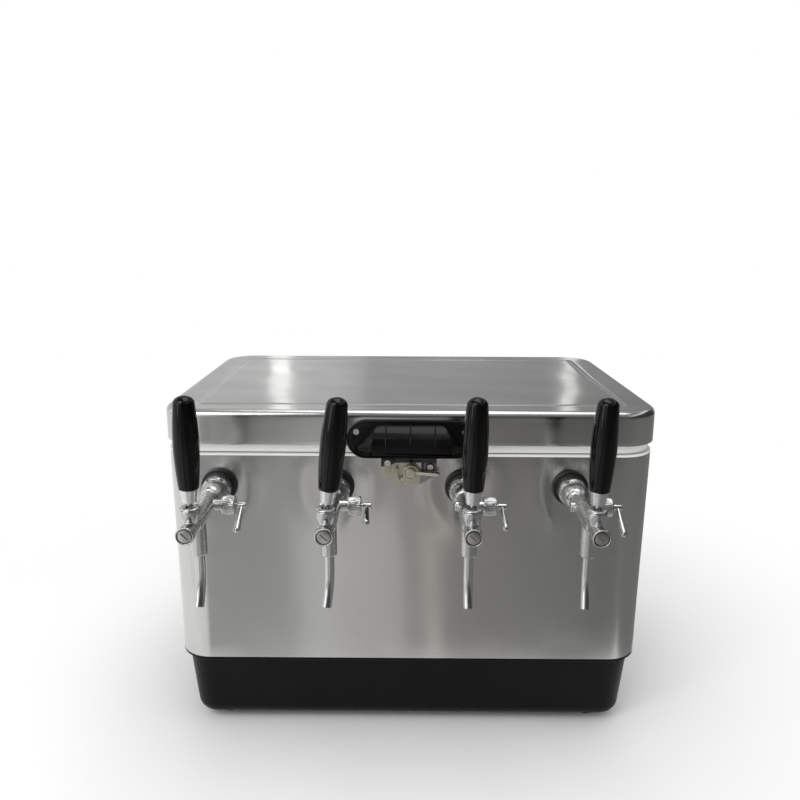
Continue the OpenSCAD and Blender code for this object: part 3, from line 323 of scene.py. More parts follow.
# %% Sizes of the chest
MM = 0.001
lid_w, lid_d, corner_r = 617.0, 420.0, 48.0
base_top, wrap_top, skirt_bottom, lid_top = 98.0, 374.0, 388.0, 431.0
half_x, half_y = lid_w / 2 - corner_r, lid_d / 2 - corner_r     # centres of the corners' curves
wrap_inset, taper, wrap_h = 2.0, 3.0, 276.0
draft = math.atan(taper / wrap_h)


def wrap_in(z):
    """How far the wrap stands inside the lid's edge at a height."""
    return wrap_inset + taper * (wrap_top - z) / wrap_h


def move(x, y, z):
    return Matrix.Translation(Vector((x, y, z)) * MM)


def turn(degrees, axis):
    return Matrix.Rotation(math.radians(degrees), 4, axis)


def on_front(x, z):
    """Place on the front wall, in metres: -Y points straight out of it and Z goes up it."""
    return move(x, wrap_in(z) - lid_d / 2, z) @ Matrix.Rotation(draft, 4, "X")


tap_x = [-236.0, -91.0, 65.0, 198.0]
tap_z = 335.0


def at_tap(k):
    return on_front(tap_x[k], tap_z)


def arc(r, degrees, x=0.0, z=0.0, tall=None):
    """Points of a circle at the given angles, as (x, z) or as (radius, station).

    tall is the other radius where it is an ellipse."""
    return [(x + r * math.cos(a), z + (tall or r) * math.sin(a))
            for a in map(math.radians, degrees)]


print("front wall leans", round(math.degrees(draft), 2), "degrees")

# %% [markdown]
# ## Tools for making pieces
#
# Nearly all the metal here is sheet bent round rounded corners, or is turned on a lathe. Two helpers
# cover both. `turned` spins an outline, with its corners softened first, because real turned work
# has no perfectly sharp edge and it is the small rounding that catches the light. `chest_sheet`
# carries a section round the chest and can push every point a little, for dents and waves.

# %% Finishing a mesh
def put_piece(name, mesh, body, place=Matrix.Identity(4)):
    """A piece that rides on a body; pieces alike in all but place share a mesh."""
    piece = put(name, mesh)
    piece.matrix_world = place
    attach(piece, body)
    return piece


def finish_mesh(name, bm, body, finish=None, place=Matrix.Identity(4), sharp=38, weld=1e-6):
    """Turns a bmesh into a piece, smooth but for the edges that turn by more than sharp degrees."""
    bmesh.ops.remove_doubles(bm, verts=bm.verts, dist=weld)
    bmesh.ops.recalc_face_normals(bm, faces=bm.faces)
    for f in bm.faces:
        f.smooth = True
    for e in bm.edges:
        e.smooth = not (e.is_manifold and e.calc_face_angle(0) > math.radians(sharp))
    mesh = bpy.data.meshes.new(name)
    bm.to_mesh(mesh)
    bm.free()
    if finish:
        mesh.materials.append(finish)
    return put_piece(name, mesh, body, place)


def copy_to_taps(first, name, node, place=at_tap):
    """Puts the first tap's piece on the other three as well; together they replace one node."""
    for k in (1, 2, 3):
        put_piece("%s_%d" % (name, k + 1), first.data, "cooler", place(k))
    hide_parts(node)


# %% Lathe work
def soften(outline, r=0.4, steps=3):
    """Rounds the inner corners of an open outline of (radius, station) points."""
    out = [outline[0]]
    for a, b, c in zip(outline, outline[1:], outline[2:]):
        va, vc = Vector(a) - Vector(b), Vector(c) - Vector(b)
        la, lc = va.length, vc.length
        if la < 1e-6 or lc < 1e-6 or va.angle(vc, math.pi) > math.radians(165):
            out.append(b)
            continue
        d = min(r, 0.45 * la, 0.45 * lc)
        p, q = Vector(b) + va * (d / la), Vector(b) + vc * (d / lc)
        for i in range(steps + 1):
            t = i / steps
            out.append(tuple(p * (1 - t) ** 2 + Vector(b) * 2 * t * (1 - t) + q * t ** 2))
    return out + [outline[-1]]


def skin(bm, rings, ends="open"):
    """Adds the faces between rings of points, where a ring of one point is a tip.

    The ends can be open, flat, or joined to each other."""
    for one, two in zip(rings, rings[1:] + (rings[:1] if ends == "joined" else [])):
        count = max(len(one), len(two))
        for i in range(count):
            j = (i + 1) % count
            corners = [one[i], one[j]] if len(one) > 1 else [one[0]]
            corners += [two[j], two[i]] if len(two) > 1 else [two[0]]
            if len(corners) > 2:
                bm.faces.new(corners)
    if ends == "flat":
        bm.faces.new(rings[0])
        bm.faces.new(rings[-1])


TURN = {"up": lambda r, t, c, s: (r * c, r * s, t),
        "out": lambda r, t, c, s: (r * c, -t, r * s),
        "side": lambda r, t, c, s: (t, r * c, r * s)}


def turned(bm, outline, axis="up", place=Matrix.Identity(4), steps=48, shape=None):
    """Adds a turned piece. shape(r, station, angle) may change the radius, for a knurl or slot."""
    rings = []
    for r, t in outline:
        if r < 1e-6:
            rings.append([bm.verts.new(place @ (Vector(TURN[axis](0, t, 1, 0)) * MM))])
            continue
        rings.append([])
        for a in (2 * math.pi * i / steps for i in range(steps)):
            rr = shape(r, t, a) if shape else r
            at = Vector(TURN[axis](rr, t, math.cos(a), math.sin(a)))
            rings[-1].append(bm.verts.new(place @ (at * MM)))
    skin(bm, rings)


# %% Bars and flat pieces
def tube(bm, path, r, steps=12, place=Matrix.Identity(4), ends="flat"):
    """Adds a round bar along a path of points in millimetres."""
    points = [Vector(p) for p in path]
    n = len(points)
    rings = []
    side = None
    for i, p in enumerate(points):
        after = points[(i + 1) % n] if ends == "joined" or i + 1 < n else p
        before = points[i - 1] if ends == "joined" or i else p
        ahead = (after - before).normalized()
        side = side or ahead.orthogonal()
        side = (side - ahead * side.dot(ahead)).normalized()
        other = ahead.cross(side)
        spokes = [side * math.cos(a) + other * math.sin(a)
                  for a in (2 * math.pi * k / steps for k in range(steps))]
        rings.append([bm.verts.new(place @ ((p + spoke * r) * MM)) for spoke in spokes])
    skin(bm, rings, ends)
    return rings


def slab(bm, outline, a, b, edge=0.4, place=Matrix.Identity(4)):
    """Adds a flat piece between two distances out of the wall, its outer edge eased.

    outline is a convex-ish list of (x, z) points."""
    mid = sum((Vector(p) for p in outline), Vector((0, 0))) / len(outline)
    half = max((Vector(p) - mid).length for p in outline)
    rings = []
    for grow, out in ((0, a), (0, b - edge), (-edge * 0.3, b - edge * 0.3), (-edge, b)):
        rings.append([bm.verts.new(place @ (Vector((q.x, -out, q.y)) * MM))
                      for q in (mid + (Vector(p) - mid) * (1 + grow / half) for p in outline)])
    skin(bm, rings, "flat")


# %% Sheet carried round the chest
def round_chest(inset, z, nx, ny, nc):
    """Points of one loop round the chest, in millimetres, counted the same for every loop."""
    loop = []
    sides = ((half_x, -half_y, 0, 1), (half_x, half_y, -1, 0),
             (-half_x, half_y, 0, -1), (-half_x, -half_y, 1, 0))
    for quarter, (cx, cy, sx, sy) in enumerate(sides):
        angles = [90 * (quarter - 1 + i / nc) for i in range(nc + 1)]
        *corner, (ex, ey) = arc(corner_r - inset, angles, cx, cy)
        loop += [(x, y, z) for x, y in corner]
        length, count = (2 * half_y, ny) if sy else (2 * half_x, nx)
        steps = [length * i / count for i in range(count)]
        loop += [(ex + sx * step, ey + sy * step, z) for step in steps]
    return loop


def chest_sheet(section, nx, ny, nc, push, ends="open"):
    """Makes the sheet that a list of (inset, z) points sweeps round the chest.

    push(point, inset) is how far each point moves, for dents and waves."""
    bm = bmesh.new()
    rings = []
    for inset, z in section:
        loop = [Vector(p) for p in round_chest(inset, z, nx, ny, nc)]
        rings.append([bm.verts.new((p + push(p, inset)) * MM) for p in loop])
    skin(bm, rings, ends)
    return bm


def lay_grain(piece):
    """Lays a UV map whose U runs along the brushing: X on the top and front, Y on the sides."""
    mesh = piece.data
    layer = mesh.uv_layers.new(name="grain")
    for poly in mesh.polygons:
        x, y, z = (abs(c) for c in poly.normal)
        along, up = ("x", "y") if z > max(x, y) else ("x", "z") if y >= x else ("y", "z")
        for li in poly.loop_indices:
            v = mesh.vertices[mesh.loops[li].vertex_index].co
            layer.data[li].uv = getattr(v, along), getattr(v, up)


# %% [markdown]
# ## Finishes
#
# A finish is built from layers that each have a cause: how the surface was made, such as brushing or
# moulding, and what happened to it after, such as finger marks. Noise in object space gives each
# layer its own scale. Three helpers add the noise, the colours it picks between and its relief.

# %% Shared parts of a finish
def stretched_noise(tree, scale, detail=3.0, stretch=(1, 1, 1), coords=None):
    """Noise in object space, in features per metre, that can be drawn out along an axis."""
    if coords is None:
        coords = add(tree, "TexCoord").outputs["Object"]
    mapping = add(tree, "Mapping", Scale=Vector(stretch) * scale)
    tree.links.new(coords, mapping.inputs["Vector"])
    tex = add(tree, "TexNoise", Scale=1.0, Detail=detail, Roughness=0.55)
    tree.links.new(mapping.outputs["Vector"], tex.inputs["Vector"])
    return tex.outputs["Fac"]


def tint(tree, value, dark, light):
    """Maps noise to a blend of two colours."""
    return stops(tree, value, [(0.3, dark), (0.7, light)])


def shades(colour, by):
    return [min(1, c * (1 - by)) for c in colour], [min(1, c * (1 + by)) for c in colour]


def uneven(tree, shader, colour, by, rough, less, more, stains, wear=None):
    """Varies the colour by a share where it is stained, and the roughness where it is worn."""
    tree.links.new(tint(tree, stains, *shades(colour, by)), shader.inputs["Base Color"])
    tree.links.new(spread(tree, wear or stains, rough - less, rough + more),
                   shader.inputs["Roughness"])


def relief(tree, shader, layers):
    """Chains bumps: each layer is (noise, depth in millimetres)."""
    normal = None
    for height, depth in layers:
        b = add(tree, "Bump", Strength=1.0, Distance=depth * MM)
        tree.links.new(height, b.inputs["Height"])
        if normal:
            tree.links.new(normal, b.inputs["Normal"])
        normal = b.outputs["Normal"]
    tree.links.new(normal, shader.inputs["Normal"])


# %% [markdown]
# ### Brushed stainless sheet
#
# The wrap and the lid are sheet that was brushed along its length with an abrasive belt. The belt
# leaves fine parallel lines, so a reflection is smeared across them: on an upright wall it turns
# into soft vertical streaks. Anisotropy on a tangent that follows the brushing gives the smear, and
# noise stretched along the lines gives the grain that can be seen close up.

# %% Brushed stainless
def brushed_sheet(name, colour, rough):
    m, tree, shader = new_finish(name, colour, rough, 1.0)
    shader.inputs["Anisotropic"].default_value = 0.80
    shader.inputs["Anisotropic Rotation"].default_value = 0.25
    tangent = add(tree, "Tangent", direction_type="UV_MAP", uv_map="grain")
    tree.links.new(tangent.outputs["Tangent"], shader.inputs["Tangent"])
    grain_uv = add(tree, "UVMap", uv_map="grain").outputs["UV"]
    coarse = stretched_noise(tree, 1.0, 3, (5, 2600, 1), grain_uv)
    fine = stretched_noise(tree, 1.0, 2, (18, 7000, 1), grain_uv)
    smudge = stretched_noise(tree, 9, 4)
    marks = times(tree, tint(tree, coarse, *shades(colour, 0.04)),
                  tint(tree, smudge, (0.94, 0.94, 0.93), (1, 1, 1)), 0.5)
    tree.links.new(marks, shader.inputs["Base Color"])
    worn = maths(tree, "ADD", spread(tree, fine, rough - 0.03, rough + 0.03),
                 spread(tree, smudge, -0.03, 0.05))
    tree.links.new(worn, shader.inputs["Roughness"])
    relief(tree, shader, [(coarse, 0.0016), (fine, 0.0007)])
    return m


steel_skin = brushed_sheet("brushed_stainless", (0.60, 0.597, 0.585), 0.19)

# %% [markdown]
# ### Plated and turned metal
#
# The taps are cast and turned brass under a thin plating. Plating shows the surface beneath it: the
# castings keep a fine orange peel that blurs what they reflect, while the spouts and the flow levers
# were polished smooth first. Small steel parts are duller and less even.

# %% Plated and turned metal
def plated(name, colour, rough, peel):
    m, tree, shader = new_finish(name, colour, rough, 1.0)
    cast = stretched_noise(tree, 420, 3)
    uneven(tree, shader, colour, 0.05, rough, 0.03, 0.06, stretched_noise(tree, 60, 4))
    relief(tree, shader, [(cast, peel)])
    return m


tap_chrome = plated("tap_chrome", (0.55, 0.55, 0.545), 0.25, 0.03)
tube_chrome = plated("tube_chrome", (0.58, 0.58, 0.575), 0.18, 0.004)
turned_steel = plated("turned_steel", (0.60, 0.60, 0.59), 0.22, 0.006)
screw_steel = plated("screw_steel", (0.66, 0.66, 0.66), 0.16, 0.004)
plug_steel = plated("plug_steel", (0.50, 0.49, 0.47), 0.30, 0.006)
pressed_steel = plated("pressed_steel", (0.60, 0.57, 0.47), 0.40, 0.003)
# the latch plate's right ear is the same pressed steel as the plate, given a dark grey here as
# painted shade
ear_steel_painted_shade = plated("ear_steel_painted_shade", (0.26, 0.25, 0.26), 0.30, 0.020)
ferrule_satin = plated("ferrule_satin", (0.72, 0.72, 0.72), 0.27, 0.003)
dark_steel = plated("dark_steel", (0.075, 0.075, 0.080), 0.34, 0.008)

# %% [markdown]
# ### Mouldings, rubber, foam and hose
#
# Moulded plastic takes the texture of its mould: fine and matt on the base, polished on the tap
# handles. Dark plastic shows dust and scuffs, pale plastic shows a faint yellowing. Rigid foam is
# full of small cells, and cast aluminium has a coarse, frosted skin.

# %% Mouldings and the rest
def moulded(name, colour, rough, texture_scale=1400, texture_depth=0.02, vary=0.12, shine=0.5):
    m, tree, shader = new_finish(name, colour, rough)
    shader.inputs["Specular IOR Level"].default_value = shine
    grit = stretched_noise(tree, texture_scale, 2)
    uneven(tree, shader, colour, vary, rough, 0.04, 0.07, stretched_noise(tree, 22, 5))
    relief(tree, shader, [(grit, texture_depth), (stretched_noise(tree, 45, 2), texture_depth * 2)])
    return m


base_black = moulded("base_black", (0.0028, 0.0028, 0.0031), 0.36, 1100, 0.022, 0.30, 0.13)
fitting_black = moulded("fitting_black", (0.0060, 0.0062, 0.0065), 0.30, 1600, 0.010, 0.25, 0.40)
handle_black = moulded("handle_black", (0.0016, 0.0016, 0.0019), 0.08, 900, 0.0015, 0.15, 0.26)
pull_black = moulded("pull_black", (0.0028, 0.0029, 0.0031), 0.27, 1500, 0.010, 0.22, 0.19)
rubber_black = moulded("rubber_black", (0.012, 0.012, 0.012), 0.72, 900, 0.030, 0.30, 0.3)
liner_white = moulded("liner_white", (0.82, 0.82, 0.80), 0.34, 700, 0.012, 0.03)
hose_clear = moulded("hose_clear", (0.62, 0.66, 0.68), 0.20, 300, 0.010, 0.06)
hose_clear.node_tree.nodes["Principled BSDF"].inputs["Transmission Weight"].default_value = 0.35


def cellular(name, colour, rough, cells, depth, metal=0.0):
    m, tree, shader = new_finish(name, colour, rough, metal)
    coords = add(tree, "TexCoord").outputs["Object"]
    cell = add(tree, "TexVoronoi", Scale=cells)
    tree.links.new(coords, cell.inputs["Vector"])
    uneven(tree, shader, colour, 0.12, rough, 0.08, 0.08,
           stretched_noise(tree, cells * 0.3, 4), stretched_noise(tree, cells, 2))
    relief(tree, shader, [(cell.outputs["Distance"], depth), (stretched_noise(tree, 40, 3), depth)])
    return m


foam_cells = cellular("foam_cells", (0.72, 0.58, 0.30), 0.85, 900, 0.30)
cast_aluminium = cellular("cast_aluminium", (0.56, 0.57, 0.58), 0.46, 700, 0.06, 1.0)
print("finishes:", len(bpy.data.materials))

# %% [markdown]
# ## The wrap
#
# One sheet of stainless goes round all four walls. On the real box its front is not flat: each tap's
# shank was pulled up tight, and the sheet bulges a little in a ring round it. The reflections bend
# there. Painting that would look false from the side, so the sheet itself is moved: a low ring round
# each tap and long shallow waves, a millimetre at most, with enough mesh to carry them.

# %% Wrap
def sheet_waves(p, inset):
    """How far the wrap's metal stands off a true wall, along its outward direction."""
    near = 8
    if abs(p.y) > lid_d / 2 - near:
        out = Vector((0, math.copysign(1, p.y), 0))
    elif abs(p.x) > lid_w / 2 - near:
        out = Vector((math.copysign(1, p.x), 0, 0))
    else:
        return Vector((0, 0, 0))
    fade = min(1, (p.z - base_top) / 18, (wrap_top - p.z) / 14)
    along = p.x if abs(out.y) else p.y + 400
    wave = 0.26 * math.sin(along / 47 + 0.9) * math.sin(p.z / 95)
    wave += 0.20 * math.sin(along / 21.0 + p.z / 120)
    if out.y < 0:
        ring_r, ring_width, dip_r = 43, 13, 20
        for x in tap_x:
            d = math.hypot(p.x - x, (p.z - tap_z) * 0.85)
            wave += 0.75 * math.exp(-((d - ring_r) / ring_width) ** 2)
            wave -= 0.25 * math.exp(-(d / dip_r) ** 2)
        wave += 0.35 * math.exp(-((p.x - 10) / 60) ** 2) * math.sin((p.z - 120) / 50)
    return out * max(wave * max(0, fade), -0.5)


wrap_low, wrap_high, wrap_t, wrap_rows = base_top + 0.1, wrap_top - 0.1, 0.8, 46
outer = [(wrap_in(z), z) for z in (wrap_low + i * (wrap_high - wrap_low) / wrap_rows
                                   for i in range(wrap_rows + 1))]
inner = [(wrap_in(wrap_top) + wrap_t, wrap_high), (wrap_in(base_top) + wrap_t, wrap_low)]
bm = chest_sheet(outer + inner, 130, 60, 12, sheet_waves, "joined")
wrap = finish_mesh("wrap_sheet", bm, "cooler", steel_skin)
lay_grain(wrap)
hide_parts("steel_wrap")
print("wrap:", len(wrap.data.polygons), "faces")

# %% [markdown]
# ## The lid's skin
#
# The lid is pressed from one sheet: a skirt, a rounded edge, and a shallow channel round the top
# that stiffens it. The press leaves every bend rounded and the big panel slightly uneven, which is
# why the strips behind it reflect as crooked lines. The same sweep makes it, and the last loop is
# filled with a grid so the panel can be uneven too.

# %% Lid skin
def lid_waves(p, inset):
    if p.z > lid_top - 2 and inset > 12:
        edge = min(1, (inset - 12) / 14)
        w = 0.30 * math.sin(p.x / 58 + 0.4) * math.sin(p.y / 42 + 1.1)
        w += 0.22 * math.sin(p.x / 27 + p.y / 34) + 0.12 * math.sin(p.y / 15 + p.x / 90)
        return Vector((0, 0, (w - 0.35) * edge))
    if p.z < lid_top - 10 and abs(p.x) < lid_w / 2 - 60:
        side = math.copysign(1, p.y)
        fade = min(1, (p.z - skirt_bottom) / 8)
        if abs(p.y) > lid_d / 2 - 2:
            return Vector((0, side * fade * 0.14 * math.sin(p.x / 33), 0))
    return Vector((0, 0, 0))


edge_r = 8.0
channel = [(35.0, 0.0), (36.2, -0.25), (37.4, -0.8), (38.6, -1.15), (40.2, -1.15), (41.6, -0.8),
           (43.0, -0.2), (44.4, 0.0), (48.0, 0.0)]
hem = [(5.8, 0.9), (5.8, 0.0), (0.7, 0.0), (0.2, 0.2)]
section = [(inset, skirt_bottom + dz) for inset, dz in hem]
section += [(0.0, skirt_bottom + 0.7 + 4.0 * i) for i in range(9)]
section += arc(edge_r, [180 - 7.5 * i for i in range(13)], edge_r, lid_top - edge_r)
section += [(inset, lid_top) for inset in (12, 17, 22, 27, 31)]
section += [(inset, lid_top + dz) for inset, dz in channel]
nx, ny, nc = 110, 74, 12
bm = chest_sheet(section, nx, ny, nc, lid_waves)
grid = []
for j in range(ny + 1):
    row = [Vector((half_x * (2 * i / nx - 1), half_y * (2 * j / ny - 1), lid_top))
           for i in range(nx + 1)]
    grid.append([bm.verts.new((q + lid_waves(q, corner_r)) * MM) for q in row])
for low, high in zip(grid, grid[1:]):
    for i in range(nx):
        bm.faces.new((low[i], low[i + 1], high[i + 1], high[i]))
lid_skin = finish_mesh("lid_skin", bm, "lid", steel_skin, sharp=50, weld=1e-5)
thick = lid_skin.modifiers.new("sheet", "SOLIDIFY")
thick.thickness, thick.offset = 0.7 * MM, -1
lay_grain(lid_skin)
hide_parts("lid_cap")
print("lid skin:", len(lid_skin.data.polygons), "faces")

# %% [markdown]
# ## The lid's pull
#
# A black moulding screwed to the lid's front: a plate with round ends, a raised bead round it, and a
# hood with slanted ends that the fingers go under. The hood bulges in one curve from the plate to
# its lip, so it is made as the skin round balls set along that curve, the same on both sides. That
# gives every edge the same radius at once. Three ribs run over it, as on the real moulding.

# %% Lid pull: plate and beads
pull_half, pull_low, pull_high, pull_t = 78.0, 372.5, 420.3, 3.5
end_r = (pull_high - pull_low) / 2
end_x, end_z = pull_half - end_r, (pull_high + pull_low) / 2


def stadium(inset, count=20):
    r = end_r - inset
    right = [(end_x + r * math.sin(math.pi * i / count), end_z + r * math.cos(math.pi * i / count))
             for i in range(count + 1)]
    return right + [(-x, 2 * end_z - z) for x, z in right]


at_skirt = move(0, -lid_d / 2, 0)
bm = bmesh.new()
slab(bm, stadium(0), 0.1, pull_t - 0.5, 0.9, at_skirt)
tube(bm, [(x, -pull_t + 0.6, z) for x, z in stadium(1.5)], 1.05, 8, at_skirt, "joined")
for s in (-1, 1):
    bowed = arc(15.5, range(-118, 119, 6), end_x + 1, end_z - 0.5)
    tube(bm, [(s * x, -pull_t + 0.45, z) for x, z in bowed], 0.9, 8, at_skirt)
pull_plate = finish_mesh("lid_pull_plate", bm, "lid")

# %% Lid pull: hood and ribs
hood_low = skirt_bottom - 4
corners = [(61, 6, 387), (46, 21, 387), (45.8, 20.8, 394), (45, 18.9, 400.5), (43, 14.8, 405.6),
           (40.5, 9.0, 409.5), (38, 4, 411)]
bm = bmesh.new()
for x, out, z in corners:
    for s in (-1, 1):
        ball = bmesh.ops.create_uvsphere(bm, u_segments=28, v_segments=18, radius=4.5 * MM)["verts"]
        bmesh.ops.translate(bm, verts=ball, vec=Vector((s * x, -lid_d / 2 - out, z)) * MM)
hull = bmesh.ops.convex_hull(bm, input=bm.verts)
extra = {g for g in hull["geom_interior"] + hull["geom_unused"]
         if isinstance(g, bmesh.types.BMVert)}
bmesh.ops.delete(bm, geom=list(extra), context="VERTS")
for point, normal in (((0, 0, hood_low), (0, 0, 1)),
                      ((0, -lid_d / 2 - pull_t + 0.8, 0), (0, -1, 0))):
    bmesh.ops.bisect_plane(bm, geom=bm.verts[:] + bm.edges[:] + bm.faces[:],
                           plane_co=Vector(point) * MM, plane_no=Vector(normal), clear_inner=True)
hood = finish_mesh("lid_pull_hood", bm, "lid", sharp=50)
wall = hood.modifiers.new("wall", "SOLIDIFY")
wall.thickness, wall.offset = 2.5 * MM, -1

rib = [(25.3, 384.4), (25.6, 387.5), (25.4, 394.6), (24.3, 399.6), (22.6, 403.2), (20.2, 406.6),
       (17.5, 409.2), (14.2, 411.5), (10.6, 413.4), (7.6, 414.9), (5.0, 415.8)]
bm = bmesh.new()
for x in (-29.5, 0.0, 29.5):
    tube(bm, [(x, -out + 0.25, z) for out, z in rib], 0.95, 8, at_skirt)
for s in (-1, 1):
    lip = [(s * 64.5, -5.0, 384.6), (s * 61.9, -8.6, 385.6), (s * 48.6, -23.3, 386.5)]
    tube(bm, lip, 0.55, 8, at_skirt)
ribs = finish_mesh("lid_pull_ribs", bm, "lid")
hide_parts("lid_handle")
print("pull:", [len(o.data.polygons) for o in (pull_plate, hood, ribs)], "faces")

# %% [markdown]
# ## The latch
#
# Under the pull sits a turning latch: a pressed plate on the wall, a hub that turns on it with a
# thumb wing and a hook, and a dark strike on the lid. Pressed plate is cut with a punch, so its
# outline is drawn, given its thickness, and eased along the edge that the die rounds.

# %% Latch plate and strike
def pressed(mesh, outline, a, b, edge=0.3, place=Matrix.Identity(4)):
    """Adds a flat piece of any (x, z) outline between two distances out, its outer edge rounded."""
    back, front = ([mesh.verts.new(place @ (Vector((x, -out, z)) * MM)) for x, z in outline]
                   for out in (a, b))
    mesh.faces.new(back)
    face = mesh.faces.new(front)
    skin(mesh, [back, front])
    bmesh.ops.bevel(mesh, geom=list(face.edges), offset=edge * MM, segments=3, affect="EDGES",
                    profile=0.5)


latch_x, latch_z = 1.0, 354.6
on_plate, on_strike = on_front(latch_x, latch_z), move(latch_x, -lid_d / 2 - 0.2, latch_z)
round_r = 11.4
bm = bmesh.new()
pressed(bm, [(-35.6, 16), (-35.6, -7.2), (-28, -8.4), (-13.5, -17.4), (8.7, -17.4), (11.4, -15.8),
             (round_r, 0)] + arc(round_r, range(9, 91, 9)) + [(-20, round_r), (-20, 16)], 0.1, 1.5)
latch_plate = finish_mesh("latch_plate", bm, "cooler", pressed_steel, on_plate, 30)
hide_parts("latch_plate")
# the plate's right ear, cut apart so that it can carry the darker grey of painted shade
bm = bmesh.new()
pressed(bm, [(round_r, -15.8), (33, -2.6), (31.4, 0.5), (31.4, 13), (30.6, 15.2), (28.6, 16),
             (15.2, 16), (15.2, 0), (round_r, 0)], 0.1, 1.5)
finish_mesh("latch_ear", bm, "cooler", ear_steel_painted_shade, on_plate, 30)
# a dark ring round the ear's screw: painted shade standing for the shade in the screw's recess
bm = bmesh.new()
turned(bm, soften([(3.9, 1.5), (5.7, 1.5), (5.3, 2.5), (4.4, 2.5), (3.9, 1.7)], 0.25), "out",
       move(23.6, 0, 6.4), 40)
finish_mesh("latch_screw_shade_ring", bm, "cooler", dark_steel, on_plate)

# the notch round the left screw runs up through the strip and the block in front of it
notch = arc(4.2, range(180, -1, -20), -29, 11.8)
strip = ([(-36.8, 12.4), (-33.2, 12.4)] + notch[1:-1]
         + [(-24.8, 12.4), (31.4, 12.4), (31.4, 30.8), (-36.8, 30.8)])
block = ([(-36.8, 7.6), (-33.2, 7.6)] + notch
         + [(-24.8, 9.7), (-21.3, 12), (-19.3, 12), (-19.3, 17.4), (-36.8, 17.4)])
bm = bmesh.new()
for outline, a, b in (
        (strip, 0, 2.0),
        ([(12.4, 1.8), (15.2, 1.8), (15.2, 14), (12.4, 14)], 0, 2.0),
        (block, 1.85, 3.05),
        ([(-15, 13.7), (11.6, 13.7), (11.6, 15.1), (-15, 15.1)], 1.9, 2.6)):
    pressed(bm, outline, a, b, 0.35)
turned(bm, [(0, 0), (2, 0), (2, 6.1), (1.6, 6.6), (0, 6.6)], "out", move(0, 0, 13.4), 32)
strike = finish_mesh("latch_strike", bm, "lid", dark_steel, on_strike, 30)
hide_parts("latch_keeper")

# %% Latch turn piece
bm = bmesh.new()
hub = [(9.4, 1.85), (10, 2.4), (10, 5.3), (9.3, 6.0), (7.7, 6.0), (7.2, 5.3), (6.6, 5.3),
       (6.1, 6.0), (5.9, 8.6), (5.2, 9.2), (0, 9.2)]
turned(bm, [(0, 1.85)] + soften(hub, 0.3), "out", steps=56)
hook = range(157, 235, 7)
pressed(bm, arc(19.7, hook) + arc(16.2, reversed(hook)), 6.25, 8.3, 0.4)
pressed(bm, [(4, -2), (18, -2), (18, 2), (4, 2)], 5.8, 7.9, 0.3, turn(-218, "Y"))
wing = [(2, 5.8), (33.6, 5.8), (35.0, 6.8), (35.4, 9.6), (34.8, 12.6), (32.6, 14.0), (29.6, 13.8),
        (2, 7.4)]
layers = [[bm.verts.new(Vector((x, -out, z)) * MM) for x, out in wing] for z in (-1.8, 1.8)]
ends = [bm.faces.new(layer) for layer in layers]
skin(bm, layers)
bmesh.ops.bevel(bm, geom=list({e for f in ends for e in f.edges}), offset=0.6 * MM, segments=3,
                affect="EDGES", profile=0.5)
latch_turn = finish_mesh("latch_turn", bm, "latch", pressed_steel, on_plate, 34)
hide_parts("latch_turn")
print("latch:", [len(o.data.polygons) for o in (latch_plate, strike, latch_turn)], "faces")

# %% [markdown]
# ## Tap bodies
#
# A tap body is one casting: a dome behind the barrel, a bowl for the lever's ball, a boss for the
# spout, a stub for the flow control and a neck for the front cap. Castings have no sharp inside
# corners. Turning each shape and then remeshing them together as one skin gives those soft joins,
# which no plain set of cylinders has. All four bodies are the same casting and share one mesh.

# %% Casting
lever_out, ball_h, spout_out, flow_out = 133.0, 16.5, 105.0, 67.0
barrel_r, neck_r, boss_r, boss_drop = 10.3, 8.0, 8.75, 43.5
neck_end = lever_out + 17

bm = bmesh.new()
dome = arc(5.2, range(0, 90, 9), barrel_r, 32, 16)
barrel = [(0, 20)] + soften([(11.5, 20), (11.5, 25.5), (13.2, 25.5), (15.5, 28), (15.5, 31.9)], 0.8)
barrel += dome + [(barrel_r, 48), (barrel_r, lever_out - 5), (neck_r + 1.6, lever_out - 3.6),
                       (neck_r, lever_out - 1.8), (neck_r, neck_end), (0, neck_end)]
turned(bm, barrel, "out", steps=64)
turned(bm, [(0, 1)] + soften([(boss_r, 1), (boss_r, -boss_drop + 0.6), (boss_r - 0.6, -boss_drop),
                              (0, -boss_drop)], 0.5), "up", move(0, -spout_out, 0), 56)
bowl = [(8.3 + 2.9 * math.sin(math.radians(9 * i)), 5 + 13 * i / 10) for i in range(11)]
turned(bm, [(0, 3), (7.6, 3.4)] + bowl + [(11.2, 20.6), (10.8, 21), (0, 21)],
       "up", move(0, -lever_out, 0), 56)
turned(bm, [(0, -14), (5.4, -14), (6, -13.4), (6, 0), (6.5, 0.5), (6.5, 26), (0, 26)],
       "side", move(0, -flow_out, 0), 48)
casting = finish_mesh("tap_body_1", bm, "cooler")
remesh = casting.modifiers.new("one_skin", "REMESH")
remesh.mode, remesh.voxel_size, remesh.use_smooth_shade = "VOXEL", 0.62 * MM, True
ease = casting.modifiers.new("eased", "SMOOTH")
ease.factor, ease.iterations = 0.6, 6
thin = casting.modifiers.new("lighter", "DECIMATE")
thin.ratio = 0.45
bpy.context.view_layer.update()
depsgraph = bpy.context.evaluated_depsgraph_get()
solid = bpy.data.meshes.new_from_object(casting.evaluated_get(depsgraph))
casting.modifiers.clear()
casting.data = solid
solid.materials.clear()
solid.materials.append(tap_chrome)
for poly in solid.polygons:
    poly.use_smooth = True
casting.matrix_world = at_tap(0)
copy_to_taps(casting, "tap_body", "faucet_bodies")
print("casting:", len(solid.polygons), "faces")

# %% [markdown]
# ## Turned fittings on the taps
#
# The flange, coupling nut, collar, front cap and flow bonnet are all lathe work, with slots, a knurl
# or an opening cut afterwards. A lathe outline is drawn once as distances from the axis, its corners
# are softened, and a small function gives the cuts.

